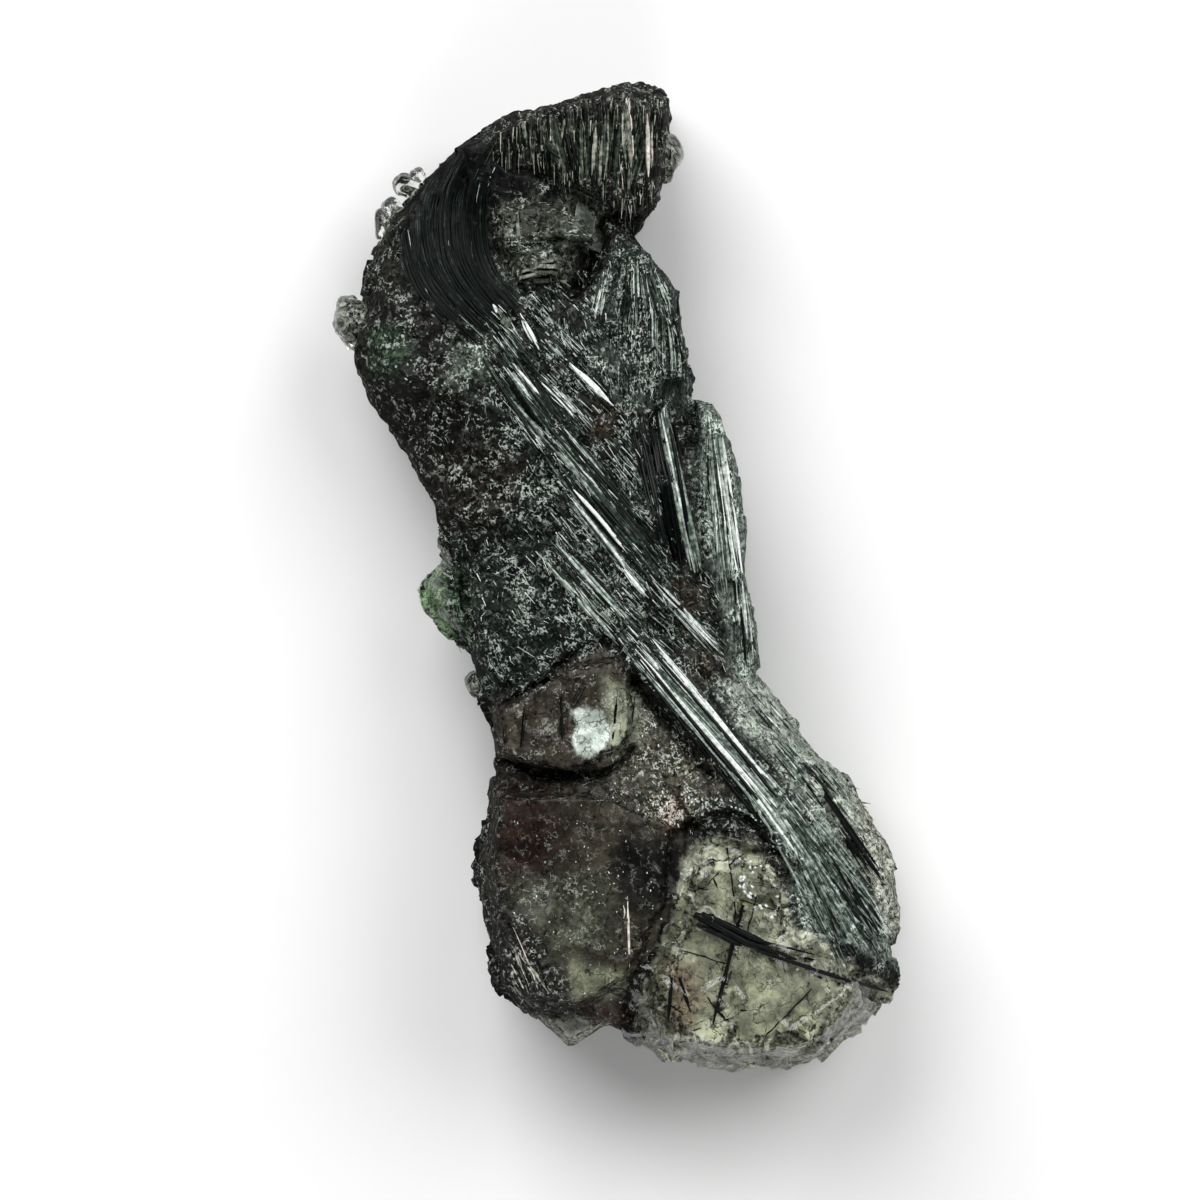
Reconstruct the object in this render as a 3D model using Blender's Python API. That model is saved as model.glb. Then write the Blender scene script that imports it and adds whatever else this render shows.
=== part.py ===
"""An apatite crystal grown through with amphibole needles, lying on its broken back.

The frame is the object's own: +X to the right and +Y up the crystal as its front is seen, +Z out of
the front. The origin is under the middle of the crystal, on the surface that it lies on.
Points on the front are written in millimetres and turned into metres by MM.
"""

import math
import random

import bmesh
import bpy
from mathutils import Vector, noise
from mathutils.bvhtree import BVHTree
from mathutils.kdtree import KDTree

MM = 0.001

# Driving dimensions of the whole crystal, in millimetres
LENGTH = 40.2
WIDTH = 23.05
THICKNESS = 10.6

# Form of the core's cross-section: the height of its widest line as a share of the ridge's height,
# how far the back would bulge below the surface that it lies on, and how square its two halves are
EDGE_HEIGHT_SHARE = 0.44
BACK_SINK = 0.45
FRONT_SQUARENESS = 2.4
BACK_SQUARENESS = 2.7
FRONT_STEPS = 34
BACK_STEPS = 20
RINGS_PER_SECTION = 2

# Cross-sections of the core from the top end to the bottom end:
# (along the length, left edge, right edge, ridge line, height of the ridge), in millimetres
SECTIONS = (
    (20.1, -0.5, 1.7, 0.7, 4.9),
    (19.5, -2.5, 2.1, 0.2, 6.2),
    (18.7, -4.8, 2.15, -0.8, 6.7),
    (17.9, -6.3, 2.1, -1.6, 6.9),
    (17.1, -7.1, 2.0, -2.4, 7.1),
    (16.3, -8.0, 1.8, -3.0, 7.2),
    (15.4, -8.8, 1.6, -3.6, 7.3),
    (14.7, -9.3, 1.1, -4.0, 7.3),
    (14.1, -9.7, 0.65, -4.3, 7.2),
    (13.3, -10.0, 1.1, -4.4, 7.2),
    (12.4, -10.3, 1.9, -4.4, 7.3),
    (11.6, -10.45, 2.4, -4.2, 7.5),
    (10.6, -10.6, 2.35, -4.0, 7.7),
    (10.0, -10.7, 2.3, -3.7, 7.8),
    (9.3, -10.6, 2.85, -3.3, 7.9),
    (8.3, -10.4, 2.85, -2.8, 8.0),
    (7.3, -10.2, 3.0, -2.4, 8.0),
    (6.5, -9.6, 3.2, -2.0, 8.0),
    (5.6, -9.05, 3.6, -1.6, 8.0),
    (4.6, -8.5, 4.0, -1.2, 8.0),
    (3.6, -7.75, 4.2, -0.8, 8.0),
    (2.6, -7.3, 4.4, -0.5, 8.0),
    (1.4, -7.0, 4.6, -0.1, 8.1),
    (0.4, -6.7, 4.7, 0.3, 8.1),
    (-0.8, -6.4, 4.8, 0.7, 8.2),
    (-2.0, -6.2, 5.1, 1.0, 8.3),
    (-3.2, -6.0, 5.4, 1.4, 8.4),
    (-4.2, -5.7, 5.8, 1.8, 8.6),
    (-5.2, -5.4, 6.7, 2.2, 8.8),
    (-6.2, -5.1, 7.3, 2.6, 9.0),
    (-7.2, -4.95, 7.9, 3.0, 9.2),
    (-8.2, -4.95, 9.2, 3.2, 9.4),
    (-9.2, -5.0, 9.85, 3.2, 9.5),
    (-10.2, -5.3, 10.2, 3.0, 9.4),
    (-11.1, -5.7, 11.0, 3.0, 9.3),
    (-12.2, -5.5, 11.4, 3.0, 9.2),
    (-13.3, -5.35, 11.3, 3.2, 9.1),
    (-14.6, -5.25, 11.5, 3.4, 9.0),
    (-15.5, -5.15, 11.1, 3.6, 8.8),
    (-16.5, -5.0, 11.15, 3.8, 8.5),
    (-17.3, -4.5, 10.9, 4.2, 8.0),
    (-18.0, -3.6, 10.5, 4.6, 7.4),
    (-18.7, 0.1, 9.8, 5.0, 6.8),
    (-19.3, 1.1, 9.2, 5.2, 6.2),
    (-19.8, 1.9, 8.7, 5.3, 5.6),
    (-20.1, 3.4, 7.6, 5.4, 4.9),
)

# Flat facets pressed into the core: how many, how deep at most, and the bend below which two
# neighbouring faces become one. The broken back has an uneven relief besides.
FACET_COUNT = 150
FACET_DEPTH = 0.7
FACET_SEED = 7
FACET_BEND = math.radians(9)
BACK_RELIEF = 1.1
BACK_GRAIN = 2.6

# Blocks: how far their hidden root tapers in, the most that their front may be inset, as shares of
# the way to their middle, and how far their side wall lies below the shoulder's height, top and bottom
ROOT_TAPER = 0.22
INSET_LIMIT = 0.45
WALL_TOP = 0.6
WALL_BOTTOM = 1.4

# Needles: how much wider a blade is than its share of its bundle, how far its ends are staggered, as a
# share of its length, how narrow its far end is, and how much of a rise in the front it clears
BLADE_OVERLAP = 1.25
BLADE_STAGGER = 0.12
BLADE_TAPER = 0.7
BLADE_CLEARANCE = 0.6
BENT_RIB_WIDTH = 0.42

# Blocks with flat faces that stand out of the core:
# name, outline of the front face, height of the back, shoulder and front, inset of the front, lean x, y
BLOCKS = (
    ("top_prism", ((-3.6, 18.9), (0.5, 20.0), (2.15, 19.5), (2.05, 16.3), (1.5, 14.95),
                   (0.75, 14.45), (-1.6, 15.4), (-3.4, 16.6)), 2.6, 6.2, 7.9, 0.35, -0.06, 0.05),
    ("top_shelf", ((-6.6, 17.5), (-3.0, 19.0), (-2.6, 16.7), (-3.4, 15.2), (-6.2, 15.6)),
     2.8, 6.0, 7.5, 0.4, -0.03, 0.02),
    ("pocket_step", ((-4.9, 14.9), (-1.6, 14.8), (-0.6, 13.2), (-3.8, 12.9), (-5.2, 13.6)),
     4.0, 6.8, 7.5, 0.2, 0.03, 0.10),
    ("pocket_leaf", ((-3.9, 13.0), (-1.9, 12.8), (-2.0, 12.2), (-3.6, 12.0)),
     5.0, 7.3, 7.9, 0.15, 0.0, 0.12),
    ("right_mass", ((0.2, 13.3), (0.9, 13.5), (2.35, 11.9), (2.3, 10.1), (2.85, 9.1), (2.9, 7.6),
                    (0.0, 7.4), (-0.9, 10.6)), 2.6, 5.8, 7.6, 0.4, -0.10, 0.0),
    ("left_lobe", ((-10.6, 10.9), (-8.0, 11.3), (-6.6, 9.6), (-6.5, 7.4), (-8.6, 6.7), (-10.3, 7.8)),
     2.0, 4.6, 6.5, 0.9, 0.26, 0.02),
    ("left_shelf", ((-7.3, 4.7), (-5.0, 5.2), (-3.6, 4.1), (-4.0, 2.4), (-6.0, 1.5), (-7.35, 2.4)),
     2.6, 5.6, 7.3, 0.5, 0.22, 0.04),
    ("side_column", ((3.2, 7.3), (3.9, 7.05), (4.35, 6.2), (4.9, 4.6), (5.25, 2.0), (5.25, 0.2),
                     (4.2, -0.6), (3.4, 3.0)), 1.4, 4.8, 6.4, 0.35, -0.12, 0.0),
    ("side_column_low", ((4.6, 1.0), (5.2, 0.3), (5.55, -1.4), (5.95, -3.4), (5.95, -3.95),
                         (4.9, -4.2), (4.0, -1.6)), 1.6, 4.6, 6.6, 0.35, -0.10, 0.02),
    ("felt_mass", ((-6.3, 0.9), (-2.6, 1.6), (-1.4, -0.9), (-1.6, -3.0), (-3.4, -4.5), (-4.9, -4.9),
                   (-5.8, -3.4)), 2.6, 6.4, 8.4, 0.5, 0.20, 0.03),
    ("smoky_slab", ((-5.1, -4.9), (-4.9, -7.3), (-4.0, -7.6), (-3.0, -7.95), (-1.9, -8.0),
                    (-0.8, -7.7), (0.35, -7.0), (0.8, -6.2), (0.5, -3.2), (-3.0, -3.6)),
     3.0, 8.0, 9.3, 0.3, 0.16, 0.0),
    ("bulb_left", ((-5.1, -8.3), (-0.5, -8.2), (2.8, -9.6), (2.4, -13.6), (0.8, -16.6), (-1.6, -17.9),
                   (-3.8, -17.7), (-4.95, -16.6), (-5.6, -11.6)), 1.6, 6.8, 9.6, 0.75, 0.05, 0.02),
    ("bulb_clear", ((2.9, -10.4), (6.2, -10.6), (8.8, -13.6), (10.4, -16.9), (9.6, -18.4), (8.3, -19.6),
                    (4.0, -19.8), (1.7, -19.4), (0.7, -17.6), (2.0, -13.8)), 1.5, 6.4, 9.4, 0.9, -0.03, 0.05),
    ("bulb_right", ((8.4, -8.0), (9.7, -9.0), (10.2, -10.4), (11.1, -11.1), (11.4, -12.2), (11.45, -14.4),
                    (11.0, -15.4), (8.2, -14.2), (7.2, -10.4)), 1.8, 5.4, 8.1, 0.8, -0.22, 0.0),
    ("bulb_shoulder", ((2.0, -7.6), (6.2, -6.0), (8.6, -8.6), (7.1, -11.6), (5.9, -10.0), (4.8, -9.3),
                       (2.5, -9.8)), 3.0, 8.2, 9.7, 0.35, -0.10, -0.16),
    ("tail_tooth", ((-3.5, -17.6), (-2.9, -18.4), (-2.0, -19.3), (-1.5, -19.15), (-0.2, -18.4),
                    (0.6, -16.8), (-2.6, -16.2)), 1.8, 4.6, 6.6, 0.5, 0.0, 0.10),
    ("tail_lip", ((0.1, -18.6), (0.6, -19.0), (1.2, -19.2), (2.4, -18.0), (0.6, -17.2)),
     1.8, 4.4, 6.4, 0.3, 0.0, 0.06),
)

# Round and pointed knobs at the edges: name, centre, half sizes, in millimetres
KNOB_WOBBLE = 0.14
KNOBS = (
    ("knob_top_right", (1.95, 17.15, 5.0), (0.68, 1.0, 0.9)),
    ("bead_high", (-8.55, 15.95, 4.6), (0.58, 0.5, 0.5)),
    ("bead_middle", (-9.15, 15.05, 4.4), (0.4, 0.36, 0.4)),
    ("bead_low", (-9.45, 14.35, 4.2), (0.45, 0.75, 0.55)),
    ("knob_left", (-10.75, 10.35, 3.8), (0.82, 1.1, 1.0)),
    ("knob_heel", (-5.7, -4.45, 4.4), (0.5, 0.56, 0.6)),
    ("flake_hip", (7.1, -6.2, 4.6), (0.55, 0.6, 0.6)),
)

# The green crystal at the left edge, by the corners of its flat faces
GREEN_CRYSTAL = (
    (-8.03, -0.9, 4.0), (-7.9, -1.35, 4.3), (-7.75, -0.2, 4.2), (-7.15, 0.85, 4.3), (-6.95, 1.1, 4.0),
    (-7.0, -2.35, 4.1), (-6.15, -3.2, 4.2), (-7.3, -0.7, 5.5), (-6.6, 0.6, 5.8), (-6.3, -1.6, 6.1),
    (-5.2, -3.2, 4.6), (-5.0, 0.6, 4.6), (-7.2, -0.6, 2.6), (-5.6, -2.8, 2.2), (-5.6, 0.4, 2.2),
)

# Straight needle blades on the front: (start, end, width, height above the surface)
BLADES = (
    ((1.75, 7.0), (3.3, 0.0), 0.62, 0.36),
    ((-4.1, 10.9), (-3.0, 8.9), 0.30, 0.22),
    ((-2.1, 8.7), (-0.2, 6.8), 0.26, 0.20),
    ((3.4, -13.8), (9.2, -16.1), 0.52, 0.18),
    ((5.0, -13.4), (3.9, -17.9), 0.24, 0.14),
)

# Bundles of parallel blades: (start, end, width at the start, width at the end, number, height)
BUNDLES = (
    ((-4.5, 9.2), (-1.4, 5.2), 1.5, 1.3, 5, 0.26),
    ((-3.2, 6.2), (1.6, 0.4), 1.3, 1.5, 6, 0.30),
    ((-2.8, 1.0), (0.3, -2.4), 1.3, 1.2, 4, 0.24),
    ((0.1, -2.2), (7.0, -9.9), 1.3, 1.7, 6, 0.42),
    ((6.6, -8.2), (9.9, -14.6), 1.6, 2.4, 6, 0.26),
    ((0.3, 19.2), (0.3, 15.2), 3.0, 2.4, 6, 0.24),
    ((0.5, 13.0), (1.3, 8.0), 1.0, 2.6, 5, 0.22),
    ((-3.9, -13.6), (-2.8, -16.7), 1.5, 1.3, 4, 0.22),
)

# Ribs of bent dark needles, from the top end down to the slanting bundle
BENT_RIBS = (
    ((-7.8, 16.4), (-8.3, 14.6), (-8.2, 13.0), (-7.5, 11.4), (-6.5, 9.8)),
    ((-7.1, 16.9), (-7.6, 14.8), (-7.5, 13.1), (-6.8, 11.5), (-5.8, 9.9)),
    ((-6.3, 17.1), (-6.9, 14.9), (-6.9, 13.3), (-6.2, 11.7), (-5.2, 10.2)),
    ((-5.5, 17.2), (-6.2, 15.0), (-6.2, 13.4), (-5.6, 12.0), (-4.6, 10.6)),
)


def metres(point):
    return Vector(point) * MM


def clear_scene():
    for old in list(bpy.data.objects):
        bpy.data.objects.remove(old, do_unlink=True)


def new_collection(name):
    made = bpy.data.collections.new(name)
    bpy.context.scene.collection.children.link(made)
    return made


def object_from(bm, name, collection):
    mesh = bpy.data.meshes.new(name)
    bm.to_mesh(mesh)
    bm.free()
    made = bpy.data.objects.new(name, mesh)
    collection.objects.link(made)
    return made


def growth(bm, name, collection):
    """A closed shape that the Boolean joins to the core, and that isn't shown by itself."""
    bmesh.ops.recalc_face_normals(bm, faces=bm.faces)
    made = object_from(bm, name, collection)
    made.hide_render = True
    made.display_type = "WIRE"
    return made


def section_ring(along, left, right, ridge, crown):
    """Points round one cross-section: over the front from left to right, then back underneath."""
    edge = crown * EDGE_HEIGHT_SHARE
    ring = []
    for step in range(FRONT_STEPS):
        t = -math.cos(math.pi * step / FRONT_STEPS)
        across = ridge + t * ((right - ridge) if t > 0 else (ridge - left))
        rise = (1 - abs(t) ** FRONT_SQUARENESS) ** (1 / FRONT_SQUARENESS)
        ring.append((across, along, edge + (crown - edge) * rise))
    middle, half = (left + right) / 2, (right - left) / 2
    for step in range(BACK_STEPS):
        t = math.cos(math.pi * step / BACK_STEPS)
        drop = (1 - abs(t) ** BACK_SQUARENESS) ** (1 / BACK_SQUARENESS)
        ring.append((middle + t * half, along, edge - (edge + BACK_SINK) * drop))
    return ring


def loft(rings):
    """A closed skin through rings that have the same number of points."""
    bm = bmesh.new()
    grid = [[bm.verts.new(metres(point)) for point in ring] for ring in rings]
    count = len(grid[0])
    for above, below in zip(grid, grid[1:]):
        for k in range(count):
            bm.faces.new((above[k], above[(k + 1) % count], below[(k + 1) % count], below[k]))
    for end in (grid[0], grid[-1]):
        cap = bm.faces.new(end)
        bmesh.ops.poke(bm, faces=[cap])
    bmesh.ops.recalc_face_normals(bm, faces=bm.faces)
    return bm


def press_facets(bm):
    """Moves points on to flat planes, one for each seed point, and leaves the outline as it is."""
    chance = random.Random(FACET_SEED)
    limit = FACET_DEPTH * MM
    bm.verts.ensure_lookup_table()
    bm.normal_update()
    seeds = [(v.co.copy(), v.normal.copy()) for v in chance.sample(list(bm.verts), FACET_COUNT)]
    finder = KDTree(len(seeds))
    for k, (centre, _normal) in enumerate(seeds):
        finder.insert(centre, k)
    finder.balance()
    moves = {}
    for v in bm.verts:
        centre, normal = seeds[finder.find(v.co)[1]]
        off_plane = (v.co - centre).dot(normal)
        off_outline = min(1.0, 4 * max(0.0, abs(v.normal.z) - 0.08))
        moves[v] = -max(-limit, min(limit, off_plane)) * off_outline * normal
    for v, move in moves.items():
        v.co += move


def roughen_back(bm):
    """Uneven broken rock underneath, worn flat where it meets the surface that it lies on."""
    for v in bm.verts:
        if v.normal.z < -0.3:
            v.co.z += BACK_RELIEF * MM * noise.noise(v.co / (BACK_GRAIN * MM))
        v.co.z = max(v.co.z, 0.0)


def core(collection):
    """The body that everything else grows out of: a loft through the sections, broken into facets."""
    rings = []
    for above, below in zip(SECTIONS, SECTIONS[1:]):
        for step in range(RINGS_PER_SECTION):
            share = step / RINGS_PER_SECTION
            rings.append(section_ring(*(a + (b - a) * share for a, b in zip(above, below))))
    rings.append(section_ring(*SECTIONS[-1]))
    bm = loft(rings)
    press_facets(bm)
    roughen_back(bm)
    bm.normal_update()
    bmesh.ops.dissolve_limit(bm, angle_limit=FACET_BEND, verts=bm.verts, edges=bm.edges)
    bmesh.ops.triangulate(bm, faces=bm.faces)
    return object_from(bm, "apatite_crystal", collection)


def block(collection, name, outline, back, shoulder, front, inset, lean_x, lean_y):
    """A flat-faced crystal: the hull of its outline at two heights and of a smaller, leaning front face."""
    middle = sum((Vector(p) for p in outline), Vector((0, 0))) / len(outline)
    bm = bmesh.new()
    for point in outline:
        flat = Vector(point)
        inward = middle - flat
        inner = flat + inward * min(INSET_LIMIT, inset / inward.length)
        deep = flat + inward * ROOT_TAPER
        lean = (inner - middle).x * lean_x + (inner - middle).y * lean_y
        bm.verts.new(metres((deep.x, deep.y, back)))
        bm.verts.new(metres((flat.x, flat.y, shoulder - WALL_BOTTOM)))
        bm.verts.new(metres((flat.x, flat.y, shoulder - WALL_TOP + lean)))
        bm.verts.new(metres((inner.x, inner.y, front + lean)))
    return hull(bm, name, collection)


def hull(bm, name, collection):
    found = bmesh.ops.convex_hull(bm, input=list(bm.verts))
    loose = [v for v in found["geom_interior"] if isinstance(v, bmesh.types.BMVert)]
    bmesh.ops.delete(bm, geom=loose, context="VERTS")
    return growth(bm, name, collection)


def knob(collection, name, centre, half_sizes):
    bm = bmesh.new()
    bmesh.ops.create_icosphere(bm, subdivisions=2, radius=1.0)
    for v in bm.verts:
        wobble = 1 + KNOB_WOBBLE * noise.noise(v.co + Vector(centre))
        v.co = metres([c + wobble * h * x for c, h, x in zip(centre, half_sizes, v.co)])
    return growth(bm, name, collection)


def prism(collection, name, start, end, width, height):
    """A six-sided needle from start to end, flattened to its height and tapered a little at its end."""
    along = (end - start).normalized()
    side = along.cross(Vector((0, 0, 1))).normalized()
    out = side.cross(along)
    bm = bmesh.new()
    bmesh.ops.create_cone(
        bm, segments=6, radius1=1.0, radius2=BLADE_TAPER, depth=1.0, cap_ends=True, cap_tris=False
    )
    for v in bm.verts:
        spot = start.lerp(end, v.co.z + 0.5)
        v.co = spot + side * v.co.x * width / 2 + out * v.co.y * height
    return growth(bm, name, collection)


class Front:
    """The height of the joined blocks and core, where a needle lies on them."""

    def __init__(self, objects):
        self.trees = []
        for shown in objects:
            bm = bmesh.new()
            bm.from_mesh(shown.data)
            self.trees.append(BVHTree.FromBMesh(bm))
            bm.free()

    def point(self, x, y):
        """The point of the front over x, y, both in millimetres."""
        above = Vector((x * MM, y * MM, 1.0))
        hits = [tree.ray_cast(above, Vector((0, 0, -1)))[0] for tree in self.trees]
        return max((hit for hit in hits if hit), key=lambda hit: hit.z, default=None)


def lay_blade(collection, name, front, start, end, width, height):
    """A straight blade, half sunk into the front along the line from start to end."""
    spots = [front.point(*Vector(start).lerp(Vector(end), share / 4)) for share in range(5)]
    first, last = spots[0], spots[4]
    rises = [spot.z - first.lerp(last, share / 4).z for share, spot in enumerate(spots)]
    lift = Vector((0, 0, BLADE_CLEARANCE * max(rises)))
    return prism(collection, name, first + lift, last + lift, width * MM, height * MM)


def lay_bundle(collection, name, front, start, end, wide_start, wide_end, count, height):
    """Parallel blades side by side, each ending a little before or after its neighbour."""
    chance = random.Random(name)
    line = Vector(end) - Vector(start)
    side = Vector((line.y, -line.x)).normalized()
    for k in range(count):
        offset = (k + 0.5) / count - 0.5
        first = Vector(start) + side * offset * wide_start + line * chance.uniform(0, BLADE_STAGGER)
        last = Vector(end) + side * offset * wide_end - line * chance.uniform(0, BLADE_STAGGER)
        width = BLADE_OVERLAP * (wide_start + wide_end) / 2 / count
        lift = height * chance.uniform(0.75, 1.1)
        lay_blade(collection, f"{name}_{k}", front, first, last, width, lift)


def bent_rib(collection, name, front, route):
    """A bent needle: a round bar along a smooth line through the route's points, half sunk in the front."""
    guide = bpy.data.curves.new(name, "CURVE")
    guide.dimensions = "3D"
    guide.bevel_depth = BENT_RIB_WIDTH / 2 * MM
    guide.bevel_resolution = 0
    guide.use_fill_caps = True
    spline = guide.splines.new("POLY")
    spline.points.add(len(route) - 1)
    for spot, (x, y) in zip(spline.points, route):
        spot.co = (*front.point(x, y), 1.0)
    bar = bpy.data.objects.new(name, guide)
    collection.objects.link(bar)
    bpy.context.view_layer.update()
    mesh = bpy.data.meshes.new_from_object(bar.evaluated_get(bpy.context.evaluated_depsgraph_get()))
    place = bar.matrix_world.copy()
    bpy.data.objects.remove(bar)
    bm = bmesh.new()
    bm.from_mesh(mesh)
    bmesh.ops.remove_doubles(bm, verts=bm.verts, dist=0.01 * MM)
    made = growth(bm, name, collection)
    made.matrix_world = place
    return made


def outer_skin(bm):
    """Fills the small sealed gaps left under the needles, by keeping the largest skin alone."""
    unseen = set(bm.faces)
    skins = []
    while unseen:
        skin = {unseen.pop()}
        edge_of_skin = list(skin)
        while edge_of_skin:
            face = edge_of_skin.pop()
            beside = {near for edge in face.edges for near in edge.link_faces} & unseen
            unseen -= beside
            skin |= beside
            edge_of_skin.extend(beside)
        skins.append(skin)
    skins.sort(key=len)
    inner = [face for skin in skins[:-1] for face in skin]
    bmesh.ops.delete(bm, geom=inner, context="FACES")


def finish(body):
    """Makes the joined growths one mesh, stretched to its size and centred over the origin."""
    deps = bpy.context.evaluated_depsgraph_get()
    mesh = bpy.data.meshes.new_from_object(body.evaluated_get(deps))
    body.modifiers.clear()
    body.data = mesh
    bm = bmesh.new()
    bm.from_mesh(mesh)
    outer_skin(bm)
    bm.to_mesh(mesh)
    bm.free()
    for axis, size in enumerate((WIDTH, LENGTH, THICKNESS)):
        places = [v.co[axis] for v in mesh.vertices]
        low, high = min(places), max(places)
        start = 0.0 if axis == 2 else -size * MM / 2
        for v, place in zip(mesh.vertices, places):
            v.co[axis] = start + (place - low) * size * MM / (high - low)


def crystal_material():
    made = bpy.data.materials.new("dark_green_crystal")
    made.use_nodes = True
    shader = made.node_tree.nodes["Principled BSDF"]
    shader.inputs["Base Color"].default_value = (0.035, 0.045, 0.038, 1)
    shader.inputs["Roughness"].default_value = 0.35
    shader.inputs["Metallic"].default_value = 0.0
    return made


def main():
    clear_scene()
    shown = new_collection("apatite_crystal_specimen")
    growths = new_collection("growths")
    body = core(shown)
    body.data.materials.append(crystal_material())
    blocks = [block(growths, *row) for row in BLOCKS]
    for row in KNOBS:
        knob(growths, *row)
    corners = bmesh.new()
    for corner in GREEN_CRYSTAL:
        corners.verts.new(metres(corner))
    hull(corners, "green_crystal", growths)
    front = Front([body, *blocks])
    for k, row in enumerate(BLADES):
        lay_blade(growths, f"blade_{k}", front, *row)
    for k, row in enumerate(BUNDLES):
        lay_bundle(growths, f"bundle_{k}", front, *row)
    for k, route in enumerate(BENT_RIBS):
        bent_rib(growths, f"bent_rib_{k}", front, route)
    join = body.modifiers.new("grown together", "BOOLEAN")
    join.operation = "UNION"
    join.operand_type = "COLLECTION"
    join.collection = growths
    finish(body)


main()
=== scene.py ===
"""The looks of an apatite crystal grown through with dark needles, lying on its broken back.

Its own frame is used throughout: +X to the right and +Y up the crystal as its front is seen, +Z out of
the front. Places on the crystal are written in millimetres and turned into metres by MM.
"""

import itertools
import math
import random
from collections import namedtuple

import bmesh
import bpy
import numpy as np
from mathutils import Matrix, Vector
from mathutils.bvhtree import BVHTree
from mathutils.kdtree import KDTree


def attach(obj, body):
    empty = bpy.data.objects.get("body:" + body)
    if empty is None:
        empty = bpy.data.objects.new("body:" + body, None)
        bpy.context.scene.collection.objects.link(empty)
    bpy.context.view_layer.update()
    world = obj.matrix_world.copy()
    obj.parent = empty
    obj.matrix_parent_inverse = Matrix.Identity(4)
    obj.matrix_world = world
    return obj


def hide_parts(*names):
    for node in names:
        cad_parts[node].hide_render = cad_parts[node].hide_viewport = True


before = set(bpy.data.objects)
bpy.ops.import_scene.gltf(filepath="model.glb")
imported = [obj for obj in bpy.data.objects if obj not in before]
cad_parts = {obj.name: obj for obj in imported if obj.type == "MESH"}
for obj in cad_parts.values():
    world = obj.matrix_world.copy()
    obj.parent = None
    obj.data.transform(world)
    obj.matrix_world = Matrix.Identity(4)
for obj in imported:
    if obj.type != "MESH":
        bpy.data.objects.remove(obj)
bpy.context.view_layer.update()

MM = 0.001
NODE = "apatite_crystal"
BODY = "root"

# The camera looks straight down on the front, from where the photograph was taken
PIXELS = 1200
PIXELS_PER_MM = 24.4
VIEW_CENTRE = (-0.676, -1.004)
VIEW_DEPTH = 4.0
CAMERA_HEIGHT = 250.0
SENSOR = 36.0
LIGHT_DISTANCE = 0.7
ROOM_GLOW = 0.09
FLOOR_HALF = 0.9

# How strongly the crystals bend light, and how rough and shiny the glossy needles are
CLEAR_IOR = 1.55
DARK_IOR = 1.5
NEEDLE_ROUGHNESS = 0.24
NEEDLE_GLEAM = 0.18

# How fine the skins are made, in millimetres and in triangles
SKIN_GRAIN = 0.115
SKIN_TRIANGLES = 195000
END_GRAIN = 0.13
END_TRIANGLES = 60000
GREEN_GRAIN = 0.10
GREEN_TRIANGLES = 40000

# How far the edge of a patch wanders, and over what length, in millimetres
EDGE_WANDER = 0.22
EDGE_BENDS = 0.55

# How high the large and the small broken facets of the dark crystal stand, and how unevenly they tilt
COARSE_LIMIT = 0.30
FINE_LIMIT = 0.12
FACET_TILT = 0.16

# Smooth random relief repeats after this many of its lumps
LATTICE = 48

# The upward part of the normal that a face needs to be grown on, and how far short needles and grains rise
STEEPEST_HOST = 0.78
RISE = 0.0
SEEDS_A_FIELD = 10

# A needle that stands further than this above the crystal, past 1.5 times its breadth, ends there
LOOSE = 0.22
NEEDLE_SIDES = 5
SWEEP_POINTS = 14

# The way that the slanting needles run, from the upper left to the lower right
SLANT = math.radians(-49)
UPRIGHT = math.pi / 2

# A patch of the crystal that has its own look: its outline, how soft its edge is, its colour,
# how strongly its grain runs upright and along the slant, how many painted glints (pale flecks and bright
# curled ridge lines) it has and how glossy it is, and the depth of its ridges and of its broken facets, in
# millimetres
Patch = namedtuple("Patch", "name outline soft tint upright slant flecks gloss ridges facets")

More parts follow.
